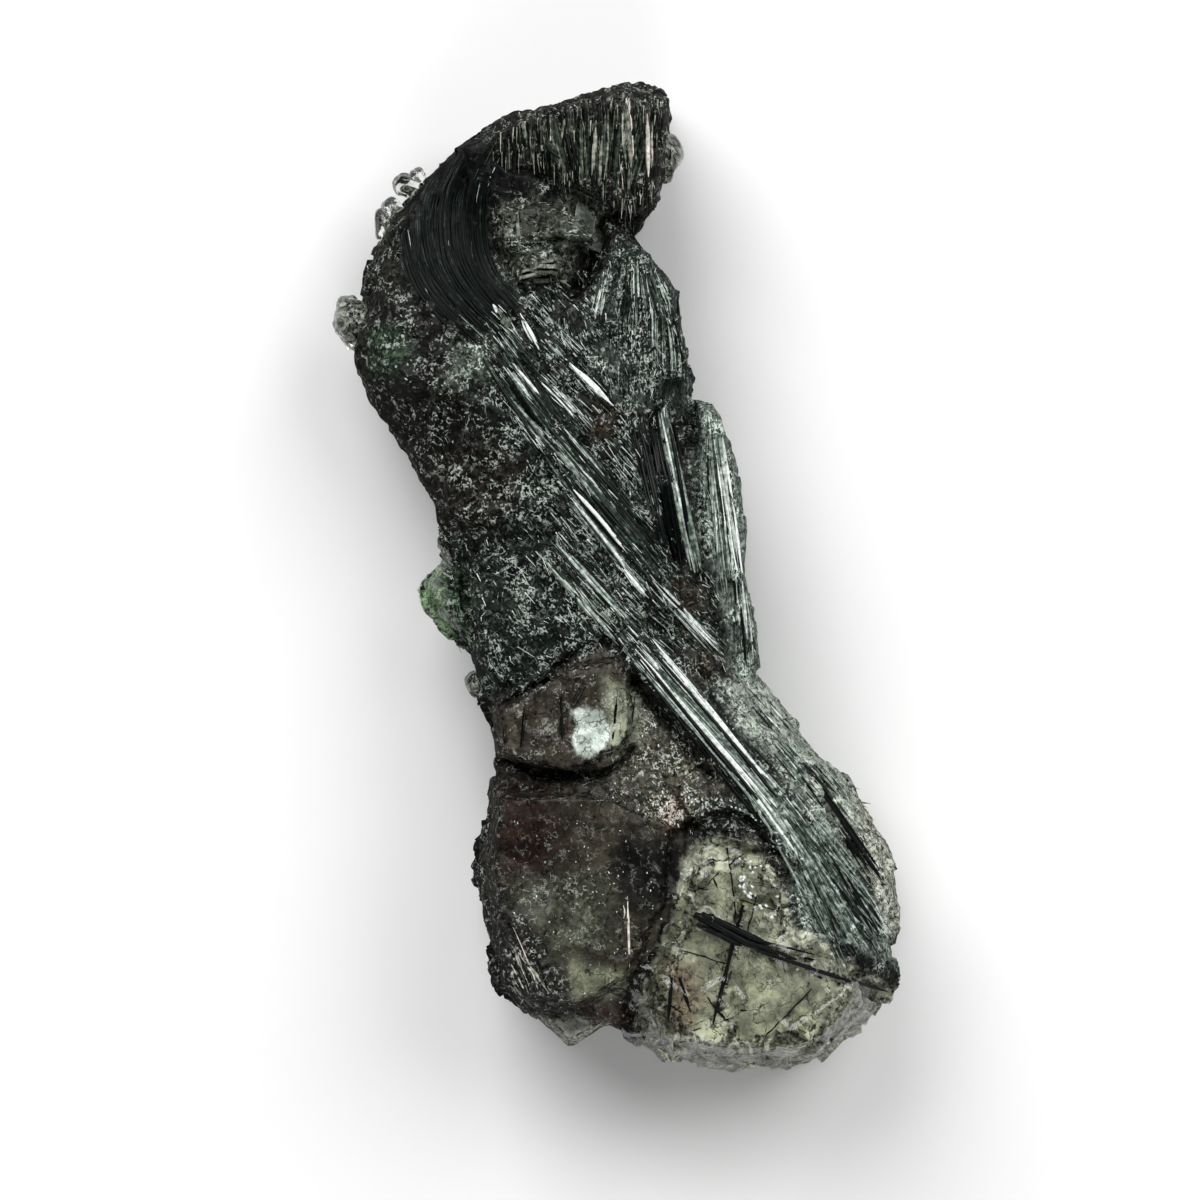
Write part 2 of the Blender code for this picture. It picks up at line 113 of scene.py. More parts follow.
PATCHES = (
    Patch("bent_black_fibres",
          ((-8.4, 16.6), (-7.0, 17.4), (-4.9, 18.2), (-3.0, 16.6), (-3.4, 15.3), (-4.9, 15.0), (-5.1, 13.1),
           (-4.5, 11.9), (-3.5, 11.1), (-5.0, 10.0), (-7.5, 10.6), (-8.8, 12.4), (-9.1, 14.8)),
          0.5, (0.006, 0.006, 0.006), 0.5, 0.0, 0.05, 0.35, 0.03, 0.05),
    Patch("top_block",
          ((-5.0, 18.4), (-3.0, 20.5), (2.6, 20.5), (2.4, 17.0), (1.6, 14.8), (0.6, 14.2), (-0.4, 14.9),
           (-0.8, 15.9), (-2.6, 15.8), (-3.3, 16.7), (-5.0, 16.9)),
          0.3, (0.028, 0.027, 0.022), 1.0, 0.0, 0.45, 0.45, 0.10, 0.05),
    Patch("pocket",
          ((-5.1, 14.8), (-3.4, 15.2), (-1.2, 15.4), (-0.3, 14.4), (-0.5, 13.1), (-1.7, 12.7), (-2.2, 11.9),
           (-3.7, 11.5), (-4.6, 12.1)),
          0.35, (0.120, 0.133, 0.104), 0.3, 0.0, 0.4, 0.4, 0.02, 0.14),
    Patch("right_mass",
          ((0.2, 14.2), (1.4, 13.2), (2.9, 11.8), (2.9, 9.6), (3.3, 7.3), (1.8, 6.6), (0.2, 6.8),
           (-0.9, 8.4), (-1.2, 10.8), (-0.3, 12.9)),
          0.5, (0.046, 0.063, 0.052), 0.8, 0.0, 0.62, 0.4, 0.07, 0.10),
    Patch("left_rim",
          ((-9.0, 15.6), (-10.0, 14.9), (-10.8, 12.4), (-11.9, 11.6), (-11.9, 9.8), (-10.4, 8.7),
           (-9.6, 10.3), (-8.9, 12.2), (-8.8, 14.2)),
          0.5, (0.028, 0.028, 0.022), 0.0, 0.0, 0.5, 0.38, 0.0, 0.14),
    Patch("left_lobe",
          ((-8.7, 11.9), (-10.2, 9.6), (-11.2, 8.8), (-11.0, 7.2), (-9.2, 5.0), (-8.0, 2.9), (-6.4, 4.0),
           (-5.9, 6.3), (-6.1, 9.6), (-7.0, 10.7)),
          0.5, (0.011, 0.009, 0.007), 0.0, 0.1, 0.38, 0.36, 0.0, 0.07),
    Patch("green_heart", ((-10.0, 9.9), (-8.8, 10.2), (-8.3, 9.3), (-8.9, 8.0), (-9.9, 8.1)),
          0.6, (0.045, 0.085, 0.045), 0.0, 0.0, 0.45, 0.4, 0.0, 0.05),
    Patch("pale_heart", ((-6.2, 9.9), (-5.1, 9.8), (-4.9, 8.3), (-5.8, 7.5), (-6.9, 7.9)),
          0.7, (0.190, 0.235, 0.190), 0.0, 0.3, 0.55, 0.4, 0.0, 0.08),
    Patch("green_felt",
          ((-6.2, 7.8), (-4.6, 7.4), (-2.2, 4.6), (-0.4, 2.6), (0.6, 0.9), (0.9, -1.2), (-0.6, -2.8),
           (-2.6, -3.6), (-4.6, -5.0), (-6.4, -4.2), (-7.2, -1.8), (-6.6, 1.2), (-4.4, 1.8), (-3.6, 4.2)),
          0.6, (0.010, 0.017, 0.012), 0.0, 0.5, 0.58, 0.35, 0.05, 0.08),
    Patch("brown_shelf", ((-7.9, 4.8), (-5.6, 5.4), (-3.6, 4.9), (-3.9, 3.2), (-5.0, 1.8), (-7.3, 1.6)),
          0.4, (0.022, 0.018, 0.014), 0.0, 0.1, 0.5, 0.45, 0.0, 0.06),
    Patch("slanting_bundle",
          ((-5.4, 11.2), (-3.4, 11.4), (-1.8, 9.6), (0.1, 6.7), (0.8, 5.0), (1.0, 2.6), (3.2, -0.6),
           (4.6, -2.7), (0.6, -3.0), (-1.4, -1.2), (-2.9, 1.9), (-2.4, 4.2), (-4.7, 6.6), (-5.2, 9.0)),
          0.45, (0.008, 0.012, 0.009), 0.0, 1.0, 0.6, 0.45, 0.09, 0.03),
    Patch("dark_gully",
          ((0.4, 6.6), (1.6, 6.7), (1.9, 3.4), (2.7, 0.4), (2.0, -0.8), (0.6, 2.4), (0.1, 4.8)),
          0.35, (0.010, 0.011, 0.010), 0.6, 0.2, 0.6, 0.4, 0.06, 0.12),
    Patch("side_column",
          ((2.9, 7.8), (4.4, 7.2), (5.6, 4.0), (5.8, 0.0), (6.5, -4.2), (5.0, -4.6), (4.2, -2.2), (3.5, 0.4),
           (3.2, 3.6)),
          0.4, (0.300, 0.370, 0.315), 0.7, 0.0, 0.6, 0.5, 0.08, 0.08),
    Patch("rusty_gully", ((1.8, 0.4), (3.6, 0.9), (4.2, -1.6), (4.4, -3.9), (3.3, -4.4), (2.0, -2.0)),
          0.5, (0.034, 0.032, 0.027), 0.2, 0.5, 0.25, 0.35, 0.04, 0.10),
    Patch("hip",
          ((4.2, -4.4), (6.2, -4.0), (7.9, -6.4), (10.4, -8.8), (10.9, -11.2), (9.0, -11.0), (6.9, -8.6),
           (5.0, -6.4)),
          0.5, (0.480, 0.540, 0.460), 0.2, 0.6, 0.55, 0.5, 0.06, 0.10),
    Patch("strong_band", ((-0.2, -2.4), (0.9, -1.7), (3.6, -4.6), (6.4, -7.8), (7.8, -10.0), (6.4, -10.2),
                          (3.4, -7.2), (1.2, -4.6)),
          0.3, (0.022, 0.030, 0.025), 0.0, 1.0, 0.5, 0.5, 0.10, 0.02),
    Patch("smoky_slab",
          ((-5.6, -4.9), (-3.6, -4.9), (-2.2, -3.6), (-0.6, -2.8), (0.6, -4.0), (1.6, -5.4), (1.2, -6.8),
           (0.3, -7.3), (-0.8, -7.9), (-3.0, -8.1), (-4.4, -7.8), (-5.6, -7.6)),
          0.3, (0.060, 0.052, 0.038), 0.1, 0.0, 0.38, 0.6, 0.0, 0.1),
    Patch("smoky_saddle",
          ((0.4, -7.2), (1.2, -5.6), (2.6, -6.6), (4.4, -8.4), (3.2, -9.6), (1.6, -10.0), (-0.6, -8.6)),
          0.5, (0.120, 0.110, 0.078), 0.0, 0.1, 0.5, 0.5, 0.0, 0.10),
    Patch("smoky_end",
          ((-5.6, -7.9), (-1.0, -8.2), (1.4, -9.8), (3.0, -10.2), (3.0, -12.4), (2.2, -13.6), (1.4, -16.0),
           (0.6, -17.6), (-1.8, -18.2), (-4.2, -18.4), (-5.8, -17.0), (-6.4, -11.0)),
          0.5, (0.056, 0.049, 0.035), 0.1, 0.0, 0.24, 0.62, 0.0, 0.07),
    Patch("red_shade", ((-5.2, -8.1), (-2.6, -8.3), (-2.2, -11.4), (-3.4, -12.4), (-5.0, -12.0)),
          0.8, (0.026, 0.014, 0.010), 0.2, 0.0, 0.22, 0.6, 0.0, 0.05),
    Patch("olive_mottle", ((-4.0, -12.3), (-1.0, -12.0), (0.1, -13.2), (-0.4, -15.0), (-2.8, -15.3)),
          0.7, (0.095, 0.100, 0.070), 0.2, 0.1, 0.3, 0.55, 0.0, 0.10),
    Patch("grey_window", ((-1.8, -15.6), (0.4, -15.8), (0.6, -16.6), (-0.4, -17.2), (-1.6, -17.0)),
          0.4, (0.210, 0.225, 0.150), 0.1, 0.1, 0.20, 0.62, 0.0, 0.06),
    Patch("red_foot", ((-1.5, -17.0), (0.2, -17.2), (0.9, -17.6), (0.8, -18.6), (-1.2, -18.4)),
          0.4, (0.050, 0.030, 0.022), 0.1, 0.1, 0.20, 0.62, 0.0, 0.06),
    Patch("dark_heart",
          ((0.2, -10.2), (2.6, -10.6), (3.0, -12.2), (2.1, -13.4), (0.4, -13.4), (-0.4, -11.6)),
          0.6, (0.011, 0.010, 0.009), 0.1, 0.0, 0.2, 0.6, 0.0, 0.08),
    Patch("striated_foot",
          ((-6.4, -12.8), (-4.6, -12.6), (-2.4, -15.6), (-1.6, -18.8), (-3.6, -19.0), (-6.4, -17.6)),
          0.4, (0.030, 0.028, 0.025), 0.1, 0.6, 0.45, 0.45, 0.08, 0.12),
    Patch("left_edge",
          ((-7.4, -4.6), (-5.3, -5.0), (-5.1, -7.6), (-5.1, -10.0), (-5.4, -12.4), (-5.1, -14.6),
           (-4.3, -17.0), (-5.4, -18.2), (-7.4, -14.0)),
          0.3, (0.016, 0.016, 0.014), 0.1, 0.1, 0.5, 0.1, 0.0, 0.20),
    Patch("clear_end",
          ((3.1, -10.5), (5.2, -10.4), (6.7, -12.2), (7.1, -14.0), (10.3, -16.2), (11.4, -16.9),
           (10.2, -19.2), (8.0, -20.8), (1.6, -20.8), (0.9, -18.6), (0.8, -16.8), (1.75, -14.9),
           (2.3, -13.3), (2.75, -11.5)),
          0.18, (0.840, 0.880, 0.670), 0.1, 0.1, 0.2, 0.66, 0.0, 0.16),
    Patch("pink_veil", ((2.0, -15.5), (3.0, -15.6), (3.3, -17.2), (2.9, -18.4), (2.1, -17.6)),
          0.5, (0.800, 0.640, 0.480), 0.3, 0.1, 0.2, 0.55, 0.0, 0.10),
    Patch("pale_fan",
          ((6.2, -9.4), (7.8, -9.9), (9.4, -11.6), (10.9, -13.9), (11.4, -15.6), (9.6, -15.0), (7.4, -13.8),
           (7.1, -12.0)),
          0.5, (0.640, 0.780, 0.680), 0.0, 0.8, 0.50, 0.45, 0.06, 0.05),
    Patch("grey_shoulder",
          ((9.6, -8.6), (11.2, -10.6), (12.0, -12.0), (12.0, -15.2), (11.0, -14.4), (9.8, -12.0)),
          0.5, (0.720, 0.740, 0.620), 0.0, 0.4, 0.6, 0.52, 0.03, 0.12),
    Patch("tail_tooth",
          ((-3.8, -18.2), (-2.0, -17.9), (-0.4, -18.0), (0.0, -18.8), (-1.8, -19.9), (-3.4, -19.2)),
          0.3, (0.520, 0.520, 0.450), 0.1, 0.1, 0.2, 0.7, 0.0, 0.08),
    Patch("rust_high", ((-1.1, 6.9), (-0.2, 6.9), (0.0, 6.0), (-0.4, 5.2), (-1.1, 5.6)),
          0.3, (0.058, 0.046, 0.032), 0.0, 0.0, 0.10, 0.3, 0.0, 0.02),
    Patch("rust_middle", ((2.2, -0.2), (3.2, -0.3), (3.5, -1.4), (2.7, -1.7), (2.2, -1.2)),
          0.4, (0.060, 0.047, 0.034), 0.0, 0.2, 0.15, 0.3, 0.0, 0.04),
    Patch("rust_low", ((3.1, -3.0), (3.9, -3.0), (4.0, -4.2), (3.3, -4.6), (2.9, -3.9)),
          0.4, (0.072, 0.062, 0.044), 0.0, 0.2, 0.15, 0.3, 0.0, 0.04),
    Patch("rust_saddle", ((1.6, -9.0), (2.6, -9.0), (2.8, -9.9), (1.9, -10.0)),
          0.4, (0.240, 0.160, 0.110), 0.0, 0.0, 0.7, 0.3, 0.0, 0.04),
    Patch("green_core",
          ((-9.0, 0.3), (-7.4, 1.1), (-6.9, 0.7), (-6.9, -0.4), (-6.7, -1.6), (-6.4, -2.9), (-6.9, -3.4),
           (-9.0, -2.6)),
          0.15, (0.780, 1.000, 0.660), 0.1, 0.2, 0.3, 0.5, 0.0, 0.16),
    Patch("green_shade", ((-6.7, 0.6), (-6.0, 0.3), (-5.8, -1.4), (-6.0, -2.6), (-6.5, -2.0), (-6.6, -0.8)),
          0.3, (0.060, 0.105, 0.060), 0.1, 0.2, 0.5, 0.6, 0.0, 0.08),
    Patch("olive_window",
          ((-0.3, -4.2), (0.8, -4.5), (1.2, -5.6), (0.9, -6.6), (-0.2, -7.3), (-0.6, -5.6)),
          0.4, (0.330, 0.350, 0.255), 0.2, 0.0, 0.4, 0.62, 0.0, 0.06),
    Patch("white_window",
          ((-1.66, -5.4), (-0.5, -5.5), (-0.27, -6.5), (-0.62, -7.2), (-1.66, -7.3), (-1.8, -6.5)),
          0.07, (0.800, 0.900, 0.800), 0.1, 0.1, 0.3, 0.7, 0.0, 0.03),
)
OUTLINE = {patch.name: patch.outline for patch in PATCHES}

# The columns of a place's look, after its colour
UPRIGHT_GRAIN, SLANT_GRAIN, PAINTED_GLINTS, GLOSS, RIDGES, FACETS = range(3, 9)

# What the crystal looks like outside every patch, and how dull its steep places are
STEEP_GLOSS = -0.7
GROUND = Patch("ground", (), 0.0, (0.022, 0.025, 0.021), 0.0, 0.2, 0.38, 0.3, 0.02, 0.15)

# Cracks and shadowed overhangs: the line that each follows, its width and its depth, in millimetres. Along
# each line the colour is also darkened with painted shade
CRACKS = (
    (((-5.2, -7.4), (-4.0, -7.7), (-3.0, -8.15), (-1.9, -8.15), (-0.8, -8.0), (0.1, -7.5), (0.6, -6.9)),
     0.24, 0.6),
    (((-5.2, -5.2), (-4.3, -5.0), (-3.6, -4.6), (-3.0, -4.3), (-2.5, -3.7), (-1.9, -3.2)), 0.22, 0.5),
    (((0.6, 14.4), (-0.2, 14.3), (-0.5, 13.3), (-1.3, 12.4), (-1.6, 11.6)), 0.55, 0.9),
    (((2.7, -10.2), (3.6, -9.75), (4.8, -9.6), (5.5, -10.0), (6.2, -10.9), (6.8, -12.0)), 0.26, 0.45),
    (((-4.9, 16.9), (-4.2, 16.4), (-3.2, 16.4), (-2.6, 15.8)), 0.2, 0.3),
    (((-5.0, 14.9), (-4.9, 13.4), (-4.4, 12.4), (-3.6, 11.4)), 0.3, 0.4),
    (((1.7, 6.9), (1.6, 5.0), (2.0, 3.0), (2.6, 0.6)), 0.4, 0.5),
    (((3.2, 7.2), (3.2, 5.0), (3.4, 2.4), (3.8, 0.0), (4.3, -2.6)), 0.3, 0.45),
    (((-5.9, 0.9), (-6.1, -0.8), (-5.6, -2.6)), 0.4, 0.5),
    (((0.6, -4.0), (1.6, -5.4), (2.8, -7.0), (3.8, -8.0)), 0.3, 0.5),
    (((0.9, -19.0), (0.4, -17.4), (0.8, -16.2), (1.7, -15.0)), 0.14, 0.30),
    (((1.2, -15.9), (1.7, -16.9), (2.0, -18.0), (2.1, -19.3)), 0.12, 0.25),
    (((1.5, -16.4), (2.2, -17.5), (2.8, -18.6), (3.5, -19.5)), 0.11, 0.25),
    (((4.5, -20.0), (4.2, -19.0), (4.7, -18.1)), 0.14, 0.30),
    (((6.3, -20.0), (6.0, -19.1), (6.8, -18.5), (7.5, -18.6)), 0.13, 0.30),
    (((8.6, -19.4), (8.1, -18.6), (8.4, -17.7)), 0.12, 0.25),
)
# How strongly painted shade darkens the colour along each crack
PAINTED_CRACK_SHADE = 0.75

# Where the opaque crystal lies deeper, under the clear end and under the green crystal
Hollow = namedtuple("Hollow", "outline depth slope")
HOLLOWS = (
    Hollow(((3.1, -10.7), (5.2, -10.6), (6.6, -12.4), (7.0, -14.1), (10.4, -16.2), (13.0, -16.4),
            (12.0, -21.5), (0.5, -21.5), (0.6, -18.4), (0.6, -16.8), (1.6, -14.9), (2.2, -13.2),
            (2.8, -11.6)), 0.50, 0.7),
    Hollow(((-9.0, 0.6), (-7.2, 2.0), (-6.6, 1.1), (-6.4, -1.4), (-6.2, -3.2), (-6.6, -4.2), (-9.0, -2.6)),
           0.45, 0.4),
)

# Clear lumps grown on the edge: middle and half sizes, in millimetres
Lump = namedtuple("Lump", "middle half")
LUMPS = (
    Lump((1.98, 17.15, 5.0), (0.72, 1.04, 0.95)),
    Lump((-8.55, 15.95, 4.6), (0.62, 0.54, 0.55)),
    Lump((-8.15, 16.35, 4.9), (0.34, 0.30, 0.35)),
    Lump((-9.15, 15.05, 4.4), (0.46, 0.42, 0.46)),
    Lump((-9.45, 14.35, 4.2), (0.50, 0.78, 0.60)),
    Lump((-10.75, 10.35, 3.8), (0.86, 1.14, 1.05)),
    Lump((-5.70, -4.45, 4.4), (0.52, 0.58, 0.62)),
)
LUMP_HOLLOW = 0.25
LUMP_CORE = Patch("lump_core", (), 0.0, (0.62, 0.66, 0.56), 0.0, 0.0, 0.2, 0.3, 0.0, 0.05)

# Clear crystals that fill the crystal's own form inside an outline, over a hollow of the dark one
CLEAR_END = ((2.7, -10.3), (5.4, -10.2), (6.9, -12.2), (7.3, -13.9), (10.8, -15.9), (13.0, -16.0),
             (12.5, -22.0), (0.2, -22.0), (0.5, -18.4), (0.5, -16.7), (1.5, -14.8), (2.1, -13.2),
             (2.6, -11.4))
GREEN_CRYSTAL = ((-9.0, 0.4), (-7.2, 1.9), (-6.6, 1.0), (-6.4, -1.4), (-6.2, -3.2), (-6.7, -4.2),
                 (-9.0, -2.4))


def away_from_line(places, line):
    """How far each place is from a line of points."""
    nearest = np.full(len(places), np.inf)
    for start, end in itertools.pairwise(line):
        start, step = np.array(start), np.array(end) - np.array(start)
        share = np.clip((places - start) @ step / (step @ step), 0, 1)
        nearest = np.minimum(nearest, np.hypot(*(places - start - share[:, None] * step).T))
    return nearest


def depth_inside(places, outline):
    """How far each place is inside a closed outline, and below 0 outside it."""
    inside = np.zeros(len(places), bool)
    x, y = places.T
    for (x1, y1), (x2, y2) in zip(outline, (*outline[1:], outline[0])):
        if y1 != y2:
            inside ^= ((y1 > y) != (y2 > y)) & (x < (x2 - x1) * (y - y1) / (y2 - y1) + x1)
    return np.where(inside, 1, -1) * away_from_line(places, (*outline, outline[0]))


def smooth(share):
    share = np.clip(share, 0, 1)
    return share * share * (3 - 2 * share)


def wobble(places, size, seed):
    """Smooth random relief between -1 and 1, with lumps of about that size, which may differ by axis."""
    lattice = np.random.default_rng(seed).uniform(-1, 1, (LATTICE,) * 3)
    cells = places / np.array(size)
    low = np.floor(cells).astype(int)
    share = smooth(cells - low)
    total = np.zeros(len(places))
    for corner in itertools.product((0, 1), repeat=3):
        weight = np.prod(np.where(corner, share, 1 - share), axis=1)
        total += weight * lattice[tuple(((low + corner) % LATTICE).T)]
    return total


def along_grain(places, angle):
    """Places as seen by a grain that runs at this angle: across it, along it, and out of the front."""
    x, y, z = places.T
    along = x * math.cos(angle) + y * math.sin(angle)
    across = -x * math.sin(angle) + y * math.cos(angle)
    return np.column_stack((across, along, z))


def patch_share(places, patch):
    """How fully each place belongs to a patch. Its edge wanders a little, as a grown edge does."""
    seed = sum(map(ord, patch.name))
    stray = np.column_stack([wobble(places, EDGE_BENDS, seed + k) for k in range(2)])
    flat = places[:, :2] + EDGE_WANDER * stray
    return smooth(0.5 + depth_inside(flat, patch.outline) / (2 * patch.soft))


def beside_lump(places, lump):
    """How near each place is to a clear lump: 1 inside it and close round it, and 0 away from it."""
    apart = np.linalg.norm((places - lump.middle) / lump.half, axis=1)
    return smooth((1.5 - apart) / 0.4)


def looks_at(places):
    """The patches' values, blended at each place: colour, and the six numbers that follow it."""
    values = np.tile([*GROUND.tint, *GROUND[4:]], (len(places), 1))
    for patch in PATCHES:
        share = patch_share(places, patch)[:, None]
        values = values * (1 - share) + share * np.array([*patch.tint, *patch[4:]])
    for lump in LUMPS:
        share = beside_lump(places, lump)[:, None]
        values = values * (1 - share) + share * np.array([*LUMP_CORE.tint, *LUMP_CORE[4:]])
    return values


def broken_facets(places, normals, spacing, seed):
    """How far each place has to move outwards to lie on the flat facet of the seed point nearest to it."""
    chance = random.Random(seed)
    count = int(len(places) * (SKIN_GRAIN / spacing) ** 2)
    picks = chance.sample(range(len(places)), count)
    finder = KDTree(count)
    for k, pick in enumerate(picks):
        finder.insert(places[pick], k)
    finder.balance()
    nearest = np.array([picks[finder.find(place)[1]] for place in places])
    tilt = np.random.default_rng(seed).normal(0, FACET_TILT, (len(places), 3))
    facing = normals[nearest] + tilt[nearest]
    facing /= np.linalg.norm(facing, axis=1)[:, None]
    return -np.einsum("ij,ij->i", places - places[nearest], facing)


def put_in_scene(name, data):
    made = bpy.data.objects.new(name, data)
    bpy.context.scene.collection.objects.link(made)
    return made


def mesh_object(name, bm):
    mesh = bpy.data.meshes.new(name)
    bm.to_mesh(mesh)
    bm.free()
    return put_in_scene(name, mesh)


def settle(made):
    """Turns an object with modifiers into a plain mesh of the same name."""
    deps = bpy.context.evaluated_depsgraph_get()
    mesh = bpy.data.meshes.new_from_object(made.evaluated_get(deps))
    made.modifiers.clear()
    made.data = mesh
    return made


def thinned(made, triangles):
    """Thins a skin of squares to about this many triangles."""
    thin = made.modifiers.new("thin", "DECIMATE")
    thin.ratio = min(1.0, triangles / (2 * len(made.data.polygons)))
    thin.use_collapse_triangulate = True
    settle(made)


def values_of(parts, name, kind=np.float32, width=3):
    """One value of each part of a mesh, in rows of that width."""
    values = np.zeros(len(parts) * width, kind)
    parts.foreach_get(name, values)
    return values.reshape(-1, width)


def points_of(mesh):
    """The mesh's points in millimetres."""
    return values_of(mesh.vertices, "co") / MM


def normals_of(mesh):
    return values_of(mesh.vertex_normals, "vector").astype(float)


def move_points(mesh, places):
    mesh.vertices.foreach_set("co", (places * MM).astype(np.float32).ravel())
    mesh.update()


def remeshed_part(name, grain, outline=None):
    """A closed, even skin over the crystal's own solid, or over its part inside an outline."""
    bm = bmesh.new()
    bm.from_mesh(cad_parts[NODE].data)
    bmesh.ops.remove_doubles(bm, verts=bm.verts, dist=0.001 * MM)
    made = mesh_object(name, bm)
    if outline:
        bm = bmesh.new()
        base = bm.faces.new([bm.verts.new((x * MM, y * MM, -MM)) for x, y in outline])
        raised = bmesh.ops.extrude_face_region(bm, geom=[base])["geom"]
        tops = [part for part in raised if isinstance(part, bmesh.types.BMVert)]
        bmesh.ops.translate(bm, vec=(0, 0, 20 * MM), verts=tops)
        bmesh.ops.recalc_face_normals(bm, faces=bm.faces)
        prism = mesh_object(name + "_outline", bm)
        cut = made.modifiers.new("cut", "BOOLEAN")
        cut.operation = "INTERSECT"
        cut.solver = "EXACT"
        cut.object = prism
    skin = made.modifiers.new("skin", "REMESH")
    skin.mode = "VOXEL"
    skin.voxel_size = grain * MM
    settle(made)
    if outline:
        bpy.data.objects.remove(prism)
    return made


def write_looks(mesh):
    """Stores each point's colour and the shares that steer its grain. Cracks get painted shade; steep places
    are made dull and get fewer painted glints.
    """
    places = points_of(mesh).astype(float)
    values = looks_at(places)
    # Painted shade: the colour is darkened along each crack and overhang
    for line, width, _ in CRACKS:
        near = smooth(1.0 - away_from_line(places[:, :2], line) / width)
        values[:, :3] *= 1 - PAINTED_CRACK_SHADE * near[:, None]
    # Steep places are made dull and get fewer painted glints
    steep = smooth((0.80 - normals_of(mesh)[:, 2]) / 0.25)
    values[:, PAINTED_GLINTS] *= 1 - 0.4 * steep
    values[:, GLOSS] = values[:, GLOSS] * (1 - steep) + STEEP_GLOSS * steep
    ones = np.ones((len(values), 1))
    for name, columns in (("tint", np.hstack((values[:, :3], ones))), ("grain", values[:, 3:7])):
        layer = mesh.attributes.new(name, "FLOAT_COLOR", "POINT")
        layer.data.foreach_set("color", columns.astype(np.float32).ravel())


def crystal_body():
    """The opaque crystal: ridged along its needles, broken into small facets, cracked, and hollowed
    where a clear crystal lies over it."""
    made = remeshed_part("crystal_body", SKIN_GRAIN)
    mesh = made.data
    places = points_of(mesh).astype(float)
    normals = normals_of(mesh)
    values = looks_at(places)
    upright, slant = values[:, UPRIGHT_GRAIN], values[:, SLANT_GRAIN]
    upright_ridge = wobble(along_grain(places, UPRIGHT), (0.16, 2.2, 0.5), 11)
    slant_ridge = wobble(along_grain(places, SLANT), (0.16, 2.6, 0.5), 12)
    out = values[:, RIDGES] * (upright * upright_ridge + slant * slant_ridge)
    out += 0.07 * wobble(places, 1.3, 13) + 0.030 * wobble(places, 0.34, 14) - 0.05
    coarse = np.clip(broken_facets(places, normals, 1.5, 15), -COARSE_LIMIT, COARSE_LIMIT)
    fine = np.clip(broken_facets(places, normals, 0.55, 16), -FINE_LIMIT, FINE_LIMIT)
    out += values[:, FACETS] / FINE_LIMIT * (0.55 * coarse + 0.6 * fine)
    flat = places[:, :2] + 0.10 * np.column_stack((wobble(places, 0.4, 17), wobble(places, 0.4, 18)))
    facing_up = smooth(normals[:, 2] * 2)
    for line, width, depth in CRACKS:
        out -= facing_up * depth * smooth(1 - away_from_line(flat, line) / width)
    for hollow in HOLLOWS:
        share = smooth(depth_inside(flat, hollow.outline) / hollow.slope)
        out -= hollow.depth * share * (0.2 + 0.8 * facing_up)
    for lump in LUMPS:
        out -= LUMP_HOLLOW * beside_lump(places, lump)
    moved = places + normals * out[:, None]
    moved[:, 2] = np.maximum(moved[:, 2], 0.0)
    move_points(mesh, moved)
    thinned(made, SKIN_TRIANGLES)
    write_looks(made.data)
    made.data.shade_smooth()
    return made


def clear_block(name, outline, grain, triangles, seed):
    """A clear crystal: the part of the crystal's own form inside an outline, with smooth broken faces."""
    made = remeshed_part(name, grain, outline)
    mesh = made.data
    places = points_of(mesh).astype(float)
    normals = normals_of(mesh)
    out = 0.06 * wobble(places, 1.8, seed) + 0.05 * wobble(places, 0.6, seed + 1) - 0.08
    edge = 0.5 + 0.7 * smooth((0.95 - normals[:, 2]) / 0.3)
    out += edge * np.clip(broken_facets(places, normals, 1.4, seed), -0.25, 0.25)
    out += 0.50 * np.clip(broken_facets(places, normals, 0.7, seed + 1), -0.10, 0.10)
    moved = places + normals * out[:, None]
    moved[:, 2] = np.maximum(moved[:, 2], 0.02)
    move_points(mesh, moved)
    thinned(made, triangles)
    made.data.shade_smooth()
    return made


def bumpy_ball(bm, middle, half, shift, bumps):
    """Adds a ball with bumps of each height, size and seed that is given, and returns its points."""
    ball = bmesh.ops.create_icosphere(bm, subdivisions=4, radius=1.0)["verts"]
    shape = np.array([vert.co for vert in ball])
    swell = np.ones(len(ball))
    for height, size, seed in bumps:
        swell += height * wobble(shape + shift, size, seed)
    for vert, place in zip(ball, middle + shape * swell[:, None] * half):
        vert.co = Vector(place) * MM
    return ball


def clear_lumps():
    """The small clear lumps on the edge, as one piece."""
    bm = bmesh.new()
    for k, lump in enumerate(LUMPS):
        bumpy_ball(bm, lump.middle, lump.half, 7.0 * k, ((0.20, 0.8, 31), (0.10, 0.33, 32)))
    made = mesh_object("clear_lumps", bm)
    made.data.shade_smooth()
    return made


